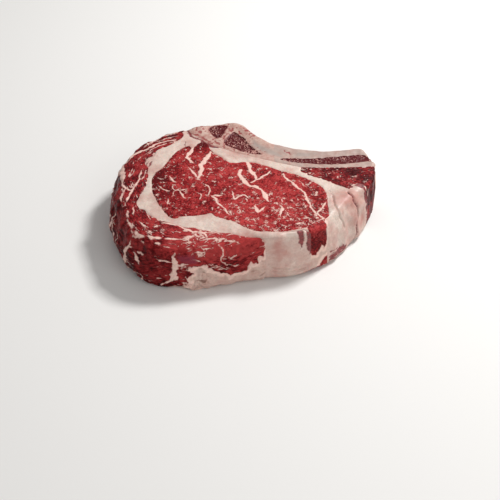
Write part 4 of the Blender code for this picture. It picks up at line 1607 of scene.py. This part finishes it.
@dataclass(frozen=True)
class LeanFinish(FattyFinish):
    """Raw beef, cut across its fibres: moist, deep red, with white threads of fat.

    A little light goes in and comes out again, by glow and over glow_reach metres. Its juices
    lie in a film with a weak shine.
    """

    deep: str = "#54070B"
    middle: str = "#96191C"
    light: str = "#C24342"
    fat: str = "#EECFC1"
    rosy: str = "#CC857D"
    # Greyish brown for thick fat: painted shade in creases of wrinkled fat, and a brown stain.
    fold_shade_and_stain: str = "#957468"
    skin: str = "#863443"
    # What drying and painted shade on the side leave of its linear red, green and blue.
    dried_and_shaded: tuple[float, float, float, float] = (0.72, 0.60, 0.62, 1)
    glow: float = 0.04
    glow_reach: float = 0.0015
    shine: float = 0.09

    def material(self) -> bpy.types.Material:
        """Fibre bundles, threads of fat and larger veins, under a moist film.

        Returns:
            The material.
        """
        material, spot, shader = self.start()
        tree = material.node_tree
        flow = add(tree, "ShaderNodeAttribute", attribute_name="fibre").outputs["Vector"]
        # Lighter and darker patches 8 mm wide, and bundles of fibres 1.4 mm wide.
        cloud = add(tree, "ShaderNodeTexNoise", {
            "Vector": spot, "Scale": 0.13, "Detail": 3.0, "Roughness": 0.6}).outputs["Fac"]
        grain = add(tree, "ShaderNodeTexNoise", {
            "Vector": flow, "Scale": 0.72, "Detail": 4.0, "Roughness": 0.78}).outputs["Fac"]
        tone = add(tree, "ShaderNodeMath", {0: self.mark(tree, "tone"), 1: 0.07, 2: grain},
                   operation="MULTIPLY_ADD").outputs[0]
        tone = add(tree, "ShaderNodeMath", {0: cloud, 1: 0.5, 2: tone}, operation="MULTIPLY_ADD")
        lean = add(tree, "ShaderNodeValToRGB", {"Fac": tone.outputs[0]})
        ramp = lean.color_ramp
        ramp.elements[0].position, ramp.elements[0].color = 0.64, linear(self.deep)
        ramp.elements[1].position, ramp.elements[1].color = 0.86, linear(self.light)
        ramp.elements.new(0.75).color = linear(self.middle)
        # Threads of fat lie between the bundles of fibres, 2 to 5 mm apart and broken up. The
        # finest of the real ones are too thin to show, so these are drawn 0.2 to 0.6 mm wide.
        dense = self.mark(tree, "dense")
        gate = add(tree, "ShaderNodeTexNoise", {
            "Vector": flow, "Scale": 0.24, "Detail": 2.0, "Roughness": 0.55}).outputs["Fac"]
        gate = add(tree, "ShaderNodeMath", {0: gate, 1: dense}).outputs[0]
        bend = add(tree, "ShaderNodeTexNoise", {
            "Vector": flow, "Scale": 0.3, "Detail": 2.0}).outputs["Color"]
        bent = add(tree, "ShaderNodeVectorMath", {0: bend, 1: (4.5, 4.5, 4.5), 2: flow},
                   operation="MULTIPLY_ADD").outputs[0]
        ridges = []
        for scale, half in ((0.19, 0.31), (0.40, 0.19)):
            gap = add(tree, "ShaderNodeTexVoronoi", {"Vector": bent, "Scale": scale},
                      feature="DISTANCE_TO_EDGE").outputs["Distance"]
            reach = add(tree, "ShaderNodeMapRange", {
                0: gate, "From Min": 0.855, "From Max": 1.08, "To Min": -0.20, "To Max": half})
            ridge = add(tree, "ShaderNodeMath", {0: gap, 1: -1 / scale, 2: reach.outputs[0]},
                        operation="MULTIPLY_ADD")
            ridges.append(ridge.outputs[0])
        ridge = add(tree, "ShaderNodeMath", {0: ridges[0], 1: ridges[1]}, operation="MAXIMUM")
        thread = add(tree, "ShaderNodeMapRange", {
            0: ridge.outputs[0], "From Min": -0.08, "From Max": 0.12, "To Max": 0.95}).outputs[0]
        shade = add(tree, "ShaderNodeMapRange", {
            0: ridge.outputs[0], "From Min": -0.7, "From Max": -0.08, "To Max": 0.4}).outputs[0]
        # Grains of fat, cut across, one at most for each 1.8 mm.
        dots = add(tree, "ShaderNodeTexVoronoi", {"Vector": flow, "Scale": 0.55}).outputs
        size = add(tree, "ShaderNodeSeparateColor", {0: dots["Color"]}).outputs[0]
        size = add(tree, "ShaderNodeMath", {0: size, 1: dense}, operation="MULTIPLY")
        size = add(tree, "ShaderNodeMapRange", {
            0: size.outputs[0], "From Min": 0.36, "From Max": 0.52, "To Max": 0.20}).outputs[0]
        dot = add(tree, "ShaderNodeMath", {0: size, 1: dots["Distance"]}, operation="SUBTRACT")
        dot = add(tree, "ShaderNodeMapRange", {
            0: dot.outputs[0], "From Min": -0.03, "From Max": 0.08, "To Max": 0.85}).outputs[0]
        fine = add(tree, "ShaderNodeTexNoise", {
            "Vector": spot, "Scale": 1.0, "Detail": 3.0, "Roughness": 0.65}).outputs["Fac"]
        # The larger veins, which the mesh's marks carry, with an uneven edge.
        edge = add(tree, "ShaderNodeMath", {0: fine, 1: 1.2, 2: -0.6}, operation="MULTIPLY_ADD")
        depth = add(tree, "ShaderNodeMath", {0: self.mark(tree, "fat_depth"), 1: edge.outputs[0]})
        vein = add(tree, "ShaderNodeMapRange", {
            0: depth.outputs[0], "From Min": -0.2, "From Max": 0.25}).outputs[0]
        halo = add(tree, "ShaderNodeMapRange", {
            0: depth.outputs[0], "From Min": -0.6, "From Max": 0.1, "To Max": 0.12}).outputs[0]
        fat = add(tree, "ShaderNodeMath", {0: thread, 1: dot}, operation="MAXIMUM").outputs[0]
        fat = add(tree, "ShaderNodeMath", {0: vein, 1: fat}, operation="MAXIMUM").outputs[0]
        base = add(tree, "ShaderNodeMix", {
            "Factor": shade, 6: lean.outputs[0], 7: linear(self.deep)}, data_type="RGBA")
        base = add(tree, "ShaderNodeMix", {
            "Factor": halo, 6: base.outputs[2], 7: linear(self.rosy)}, data_type="RGBA")
        # The side mark darkens the lean: partly from drying, partly painted shade.
        dry_and_shade = add(tree, "ShaderNodeMix", {
            "Factor": self.mark(tree, "side"), 6: (1, 1, 1, 1), 7: self.dried_and_shaded},
            data_type="RGBA")
        base = add(tree, "ShaderNodeMix", {
            "Factor": 1.0, 6: base.outputs[2], 7: dry_and_shade.outputs[2]},
            data_type="RGBA", blend_type="MULTIPLY")
        # Fat that is more than 1.6 mm deep looks like the thick fat next to it.
        deep = add(tree, "ShaderNodeMapRange", {
            0: depth.outputs[0], "From Min": 1.6, "From Max": 3.2}).outputs[0]
        # Where the tone is low, thick fat turns greyish brown: painted shade in the creases of
        # wrinkled fat, and a brown stain.
        fold_shade_and_stain = add(tree, "ShaderNodeMapRange", {
            0: self.mark(tree, "tone"), "From Min": -0.5, "From Max": -1.6})
        thick = add(tree, "ShaderNodeMix", {
            "Factor": fold_shade_and_stain.outputs[0], 6: self.thick_fat(tree, spot, 0.58, 0.0)[0],
            7: linear(self.fold_shade_and_stain)}, data_type="RGBA")
        white = add(tree, "ShaderNodeMix", {
            "Factor": deep, 6: linear(self.fat), 7: thick.outputs[2]}, data_type="RGBA")
        warm = add(tree, "ShaderNodeMapRange", {
            0: fine, "From Min": 0.35, "From Max": 0.75, "To Min": 0.0, "To Max": 0.6})
        calm = add(tree, "ShaderNodeMapRange", {
            0: depth.outputs[0], "From Min": 0.8, "From Max": 2.6, "To Min": 1.0, "To Max": 0.0})
        warm = add(tree, "ShaderNodeMath", {0: warm.outputs[0], 1: calm.outputs[0]},
                   operation="MULTIPLY")
        tint = add(tree, "ShaderNodeMix", {
            "Factor": warm.outputs[0], 6: white.outputs[2], 7: linear(self.rosy)},
            data_type="RGBA")
        colour = add(tree, "ShaderNodeMix", {
            "Factor": fat, 6: base.outputs[2], 7: tint.outputs[2]}, data_type="RGBA")
        skin = add(tree, "ShaderNodeMapRange", {
            0: self.mark(tree, "membrane"), "From Min": -0.5, "From Max": 0.8, "To Max": 0.75})
        colour = add(tree, "ShaderNodeMix", {
            "Factor": skin.outputs[0], 6: colour.outputs[2], 7: linear(self.skin)},
            data_type="RGBA")
        gloss = add(tree, "ShaderNodeMapRange", {
            0: fine, "From Min": 0.3, "From Max": 0.7, "To Min": 0.26, "To Max": 0.50})
        rough = add(tree, "ShaderNodeMapRange", {0: vein, "To Min": 0.7, "To Max": 0.25})
        bump = add(tree, "ShaderNodeBump", {
            "Height": grain, "Strength": rough.outputs[0], "Distance": 0.0007})
        feed(shader, {
            "Base Color": colour.outputs[2], "Roughness": gloss.outputs[0],
            "Normal": bump.outputs[0], "Subsurface Weight": self.glow,
            "Subsurface Scale": self.glow_reach, "Specular IOR Level": self.shine})
        return material


@dataclass(frozen=True)
class FatFinish(FattyFinish):
    """Firm raw beef fat: cream, flushed with pink, satin and slightly clear.

    It lets in more light than the lean does, by glow and over glow_reach metres.
    """

    lean: str = "#92242A"
    dark: str = "#561418"
    glow: float = 0.06
    glow_reach: float = 0.002

    def material(self) -> bpy.types.Material:
        """Cream fat with a pink flush, grey that is partly painted shade, and lean where that
        shows through.

        Returns:
            The material.
        """
        material, spot, shader = self.start()
        tree = material.node_tree
        base, fine = self.thick_fat(tree, spot, self.mark(tree, "pink"), self.mark(tree, "grey_and_shade"))
        edge = add(tree, "ShaderNodeMath", {0: fine, 1: 2.0, 2: -1.0}, operation="MULTIPLY_ADD")
        depth = add(tree, "ShaderNodeMath", {0: self.mark(tree, "lean_depth"), 1: edge.outputs[0]})
        lean = add(tree, "ShaderNodeMapRange", {
            0: depth.outputs[0], "From Min": -0.45, "From Max": 0.5, "To Max": 0.95}).outputs[0]
        dark = add(tree, "ShaderNodeMapRange", {
            0: fine, "From Min": 0.38, "From Max": 0.62}).outputs[0]
        meat = add(tree, "ShaderNodeMix", {
            "Factor": dark, 6: linear(self.lean), 7: linear(self.dark)}, data_type="RGBA")
        colour = add(tree, "ShaderNodeMix", {
            "Factor": lean, 6: base, 7: meat.outputs[2]}, data_type="RGBA")
        gloss = add(tree, "ShaderNodeMapRange", {
            0: fine, "From Min": 0.3, "From Max": 0.7, "To Min": 0.38, "To Max": 0.56})
        bump = add(tree, "ShaderNodeBump", {"Height": fine, "Strength": 0.35, "Distance": 0.0005})
        feed(shader, {
            "Base Color": colour.outputs[2], "Roughness": gloss.outputs[0],
            "Normal": bump.outputs[0], "Subsurface Weight": self.glow,
            "Subsurface Scale": self.glow_reach})
        return material


@dataclass(frozen=True)
class BoneFinish(Finish):
    """Sawn fresh bone: pale, greyish pink and matte, with blood and grey gristle."""

    pale: str = "#C4A698"
    pink: str = "#B07E73"
    blood: str = "#8C2426"
    gristle: str = "#A1928A"

    def material(self) -> bpy.types.Material:
        """A base mottled 3 mm wide, with grey and with stains whose edge wavers by 1 mm.

        Returns:
            The material.
        """
        material, spot, shader = self.start()
        tree = material.node_tree
        cloud = add(tree, "ShaderNodeTexNoise", {
            "Vector": spot, "Scale": 0.3, "Detail": 5.0, "Roughness": 0.65}).outputs["Fac"]
        tint = add(tree, "ShaderNodeMapRange", {
            0: cloud, "From Min": 0.38, "From Max": 0.66}).outputs[0]
        base = add(tree, "ShaderNodeMix", {
            "Factor": tint, 6: linear(self.pale), 7: linear(self.pink)}, data_type="RGBA")
        grey = add(tree, "ShaderNodeMapRange", {
            0: self.mark(tree, "grey"), "From Min": -1.5, "From Max": 2.0, "To Max": 0.85})
        base = add(tree, "ShaderNodeMix", {
            "Factor": grey.outputs[0], 6: base.outputs[2], 7: linear(self.gristle)},
            data_type="RGBA")
        fine = add(tree, "ShaderNodeTexNoise", {
            "Vector": spot, "Scale": 0.9, "Detail": 3.0}).outputs["Fac"]
        stain = add(tree, "ShaderNodeMath", {0: fine, 1: 2.0, 2: -1.0}, operation="MULTIPLY_ADD")
        stain = add(tree, "ShaderNodeMath", {0: self.mark(tree, "blood"), 1: stain.outputs[0]})
        stain = add(tree, "ShaderNodeMapRange", {
            0: stain.outputs[0], "From Min": 0.0, "From Max": 1.1, "To Max": 0.85})
        colour = add(tree, "ShaderNodeMix", {
            "Factor": stain.outputs[0], 6: base.outputs[2], 7: linear(self.blood)},
            data_type="RGBA")
        gloss = add(tree, "ShaderNodeMapRange", {
            0: cloud, "From Min": 0.3, "From Max": 0.7, "To Min": 0.60, "To Max": 0.46})
        bump = add(tree, "ShaderNodeBump", {"Height": fine, "Strength": 0.3, "Distance": 0.0003})
        feed(shader, {
            "Base Color": colour.outputs[2], "Roughness": gloss.outputs[0],
            "Normal": bump.outputs[0]})
        return material


@dataclass(frozen=True)
class MarrowFinish(Finish):
    """Red marrow in spongy bone, sawn through and damp: dark cells between thin pale walls.

    The real cells are finer than 1 mm. They are drawn coarser, so that they show. The damp
    gives it some shine.
    """

    cell: str = "#560910"
    wall: str = "#D09A8E"
    shine: float = 0.25

    def material(self) -> bpy.types.Material:
        """Dark cells and pale walls, as deep as the mesh has them.

        Returns:
            The material.
        """
        material, spot, shader = self.start()
        tree = material.node_tree
        fine = add(tree, "ShaderNodeTexNoise", {
            "Vector": spot, "Scale": 0.9, "Detail": 2.0, "Roughness": 0.6}).outputs["Fac"]
        wall = add(tree, "ShaderNodeMath", {0: self.mark(tree, "pit"), 1: 0.16, 2: fine},
                   operation="MULTIPLY_ADD")
        wall = add(tree, "ShaderNodeMath", {0: self.mark(tree, "pale"), 1: 0.06,
                                            2: wall.outputs[0]}, operation="MULTIPLY_ADD")
        wall = add(tree, "ShaderNodeMapRange", {
            0: wall.outputs[0], "From Min": 0.61, "From Max": 0.71}).outputs[0]
        colour = add(tree, "ShaderNodeMix", {
            "Factor": wall, 6: linear(self.cell), 7: linear(self.wall)}, data_type="RGBA")
        gloss = add(tree, "ShaderNodeMapRange", {0: wall, "To Min": 0.42, "To Max": 0.66})
        bump = add(tree, "ShaderNodeBump", {"Height": wall, "Strength": 0.4, "Distance": 0.0003})
        feed(shader, {
            "Base Color": colour.outputs[2], "Roughness": gloss.outputs[0],
            "Normal": bump.outputs[0], "Specular IOR Level": self.shine})
        return material


@dataclass(frozen=True)
class SpeckFinish(Finish):
    """Grains of hard white fat that the knife left standing: satin, some with a blush."""

    white: str = "#EAD5C8"
    blush: str = "#D7A598"

    def material(self) -> bpy.types.Material:
        """Pale satin fat, pinker and duller from one grain to the next, over 3 mm.

        Returns:
            The material.
        """
        material, spot, shader = self.start()
        tree = material.node_tree
        cloud = add(tree, "ShaderNodeTexNoise", {
            "Vector": spot, "Scale": 0.35, "Detail": 3.0, "Roughness": 0.6}).outputs["Fac"]
        pink = add(tree, "ShaderNodeMapRange", {
            0: cloud, "From Min": 0.42, "From Max": 0.68}).outputs[0]
        colour = add(tree, "ShaderNodeMix", {
            "Factor": pink, 6: linear(self.white), 7: linear(self.blush)}, data_type="RGBA")
        gloss = add(tree, "ShaderNodeMapRange", {
            0: cloud, "From Min": 0.3, "From Max": 0.7, "To Min": 0.32, "To Max": 0.48})
        feed(shader, {"Base Color": colour.outputs[2], "Roughness": gloss.outputs[0]})
        return material


@dataclass
class Flecks:
    """Small grains of fat that stand in the cut face of a muscle.

    spacing is the least distance between two of them, and smallest and largest are the ranges
    of their half length, half width and half height, all in millimetres.
    """

    muscle: bpy.types.Object
    finish: Finish
    per_square_metre: float
    seed: int
    spacing: float = 0.8
    smallest: tuple[float, float, float] = (0.20, 0.16, 0.10)
    largest: tuple[float, float, float] = (0.75, 0.34, 0.18)

    def tree(self) -> bpy.types.NodeTree:
        """Scatters flat grains over a mesh, as densely as its fleck mark says.

        Returns:
            The Geometry Nodes tree.
        """
        tree = bpy.data.node_groups.new("flecks of fat", "GeometryNodeTree")
        for name, kind in (("Muscle", "Geometry"), ("Density", "Float"), ("Spacing", "Float"),
                           ("Smallest", "Vector"), ("Largest", "Vector"), ("Seed", "Int"),
                           ("Finish", "Material")):
            tree.interface.new_socket(name, in_out="INPUT", socket_type="NodeSocket" + kind)
        tree.interface.new_socket("Flecks", in_out="OUTPUT", socket_type="NodeSocketGeometry")
        given = add(tree, "NodeGroupInput").outputs
        share = add(tree, "GeometryNodeInputNamedAttribute", {"Name": "fleck"},
                    data_type="FLOAT").outputs["Attribute"]
        spots = add(tree, "GeometryNodeDistributePointsOnFaces", {
            "Mesh": given["Muscle"], "Distance Min": given["Spacing"],
            "Density Max": given["Density"], "Density Factor": share, "Seed": given["Seed"]},
            distribute_method="POISSON").outputs
        grain = add(tree, "GeometryNodeMeshIcoSphere", {
            "Radius": MM, "Subdivisions": 1}).outputs["Mesh"]
        size = add(tree, "FunctionNodeRandomValue", {
            0: given["Smallest"], 1: given["Largest"], "Seed": given["Seed"]},
            data_type="FLOAT_VECTOR").outputs[0]
        spin = add(tree, "FunctionNodeRandomValue", {
            0: (0.0, 0.0, 0.0), 1: (0.0, 0.0, FULL_TURN), "Seed": given["Seed"]},
            data_type="FLOAT_VECTOR").outputs[0]
        spin = add(tree, "FunctionNodeEulerToRotation", {0: spin}).outputs[0]
        turn = add(tree, "FunctionNodeRotateRotation", {
            "Rotation": spots["Rotation"], "Rotate By": spin}, rotation_space="LOCAL").outputs[0]
        placed = add(tree, "GeometryNodeInstanceOnPoints", {
            "Points": spots["Points"], "Instance": grain, "Rotation": turn,
            "Scale": size}).outputs[0]
        solid = add(tree, "GeometryNodeRealizeInstances", {0: placed}).outputs[0]
        shaded = add(tree, "GeometryNodeSetShadeSmooth", {0: solid}).outputs[0]
        done = add(tree, "GeometryNodeSetMaterial", {
            "Geometry": shaded, "Material": given["Finish"]}).outputs[0]
        add(tree, "NodeGroupOutput", {0: done})
        return tree

    def build(self) -> bpy.types.Object:
        """Scatters the grains and keeps them as a plain mesh.

        Returns:
            The finished object.
        """
        source = bpy.data.objects.new("source", self.muscle.data.copy())
        bpy.context.scene.collection.objects.link(source)
        scatter = source.modifiers.new("flecks", "NODES")
        scatter.node_group = self.tree()
        values = {
            "Density": self.per_square_metre, "Spacing": self.spacing * MM,
            "Smallest": self.smallest, "Largest": self.largest, "Seed": self.seed,
            "Finish": self.finish.material()}
        for item in scatter.node_group.interface.items_tree:
            if item.name in values:
                scatter[item.identifier] = values[item.name]
        scene_graph = bpy.context.evaluated_depsgraph_get()
        mesh = bpy.data.meshes.new_from_object(source.evaluated_get(scene_graph))
        bpy.data.objects.remove(source)
        piece = bpy.data.objects.new(self.muscle.name.replace("visual", "flecks"), mesh)
        bpy.context.scene.collection.objects.link(piece)
        return seat(piece, "fat")


@dataclass
class Studio:
    """The plain floor, the soft lights and the camera that fits the photo.

    reach, sunk and the clips are in metres. The camera's place is in the plan's millimetres,
    and it tilts up from straight down by so many degrees.
    """

    reach: float = 3.0
    sunk: float = 0.0002
    sky: float = 0.38
    camera_place: tuple[float, float, float] = (3.2, -694.0, 551.1)
    tilt: float = 50.0
    lens: float = 82.12
    sensor: float = 36.0
    clips: tuple[float, float] = (0.05, 20.0)

    def floor(self) -> None:
        """A wide plain floor, pale and matte."""
        mesh = bpy.data.meshes.new("floor")
        r = self.reach
        mesh.from_pydata([(-r, -r, 0), (r, -r, 0), (r, r, 0), (-r, r, 0)], [], [(0, 1, 2, 3)])
        material = bpy.data.materials.new("pale floor")
        material.use_nodes = True
        feed(material.node_tree.nodes["Principled BSDF"], {
            "Base Color": linear("#E9E7E4"), "Roughness": 0.8})
        mesh.materials.append(material)
        floor = bpy.data.objects.new("floor", mesh)
        floor.location.z = -self.sunk
        bpy.context.scene.collection.objects.link(floor)

    def lamp(self, name: str, place: tuple[float, float, float], size: float,
             watts: float) -> None:
        """A square soft lamp that looks at the steak.

        Args:
            name: the lamp's name.
            place: where it stands, in metres.
            size: its width in metres.
            watts: its power.
        """
        light = bpy.data.lights.new(name, "AREA")
        light.size, light.energy = size, watts
        lamp = bpy.data.objects.new(name, light)
        lamp.location = place
        aim = -lamp.location
        lamp.rotation_euler = aim.to_track_quat("-Z", "Y").to_euler()
        bpy.context.scene.collection.objects.link(lamp)

    def build(self) -> None:
        """Sets up the floor, lights, world and camera."""
        scene = bpy.context.scene
        scene.view_settings.view_transform = "Standard"
        self.floor()
        self.lamp("key", place=(0.55, 0.42, 0.85), size=0.22, watts=11.0)
        self.lamp("fill", place=(0.55, -0.9, 0.55), size=0.9, watts=3.2)
        world = bpy.data.worlds.new("soft room")
        world.use_nodes = True
        feed(world.node_tree.nodes["Background"], {
            "Color": linear("#FFFFFF"), "Strength": self.sky})
        scene.world = world
        camera = bpy.data.cameras.new("camera")
        camera.lens, camera.sensor_width = self.lens, self.sensor
        camera.clip_start, camera.clip_end = self.clips
        eye = bpy.data.objects.new("camera", camera)
        x, y, z = self.camera_place
        eye.location = ((x - CENTRE[0]) * MM, (y - CENTRE[1]) * MM, z * MM)
        eye.rotation_euler = (math.radians(self.tilt), 0, 0)
        scene.collection.objects.link(eye)
        scene.camera = eye


def main() -> None:
    """Builds the steak and its studio."""
    logging.basicConfig(level=logging.INFO, format="%(message)s")
    slab = Slab()
    lean = LeanFinish("raw beef, bright cut")
    dark = LeanFinish("raw beef, dark cut", deep="#43060A", middle="#821318", light="#B63C3B")
    fat = FatFinish("raw beef fat")
    bone = BoneFinish("sawn fresh bone")
    marrow = MarrowFinish("red marrow")
    speck = SpeckFinish("hard white fat")
    eye, cap, between, *_ = [piece.build() for piece in (
        EyeMuscle(slab, "eye_muscle", "lean", lean, rise=0.4),
        CapMuscle(slab, "cap_muscle", "lean_dark", dark, rise=0.2),
        RibLean(slab, "rib_lean", "lean_dark", dark, rise=-0.3),
        FatBody(slab, "fat", "fat", fat),
        RibBone(slab, "rib_bone", "bone", bone, rise=0.2),
        Marrow(slab, "marrow_rib", "marrow", marrow, top_step=MARROW_STEP, rise=-0.7),
        Marrow(slab, "marrow_neck", "marrow", marrow, top_step=MARROW_STEP, rise=-0.9),
        Marrow(slab, "marrow_knob", "marrow", marrow, top_step=MARROW_STEP, rise=-0.5),
    )]
    for flecks in (Flecks(eye, speck, per_square_metre=60000.0, seed=3),
                   Flecks(cap, speck, per_square_metre=40000.0, seed=5),
                   Flecks(between, speck, per_square_metre=40000.0, seed=7)):
        flecks.build()
    Studio().build()


if __name__ == "__main__":
    main()
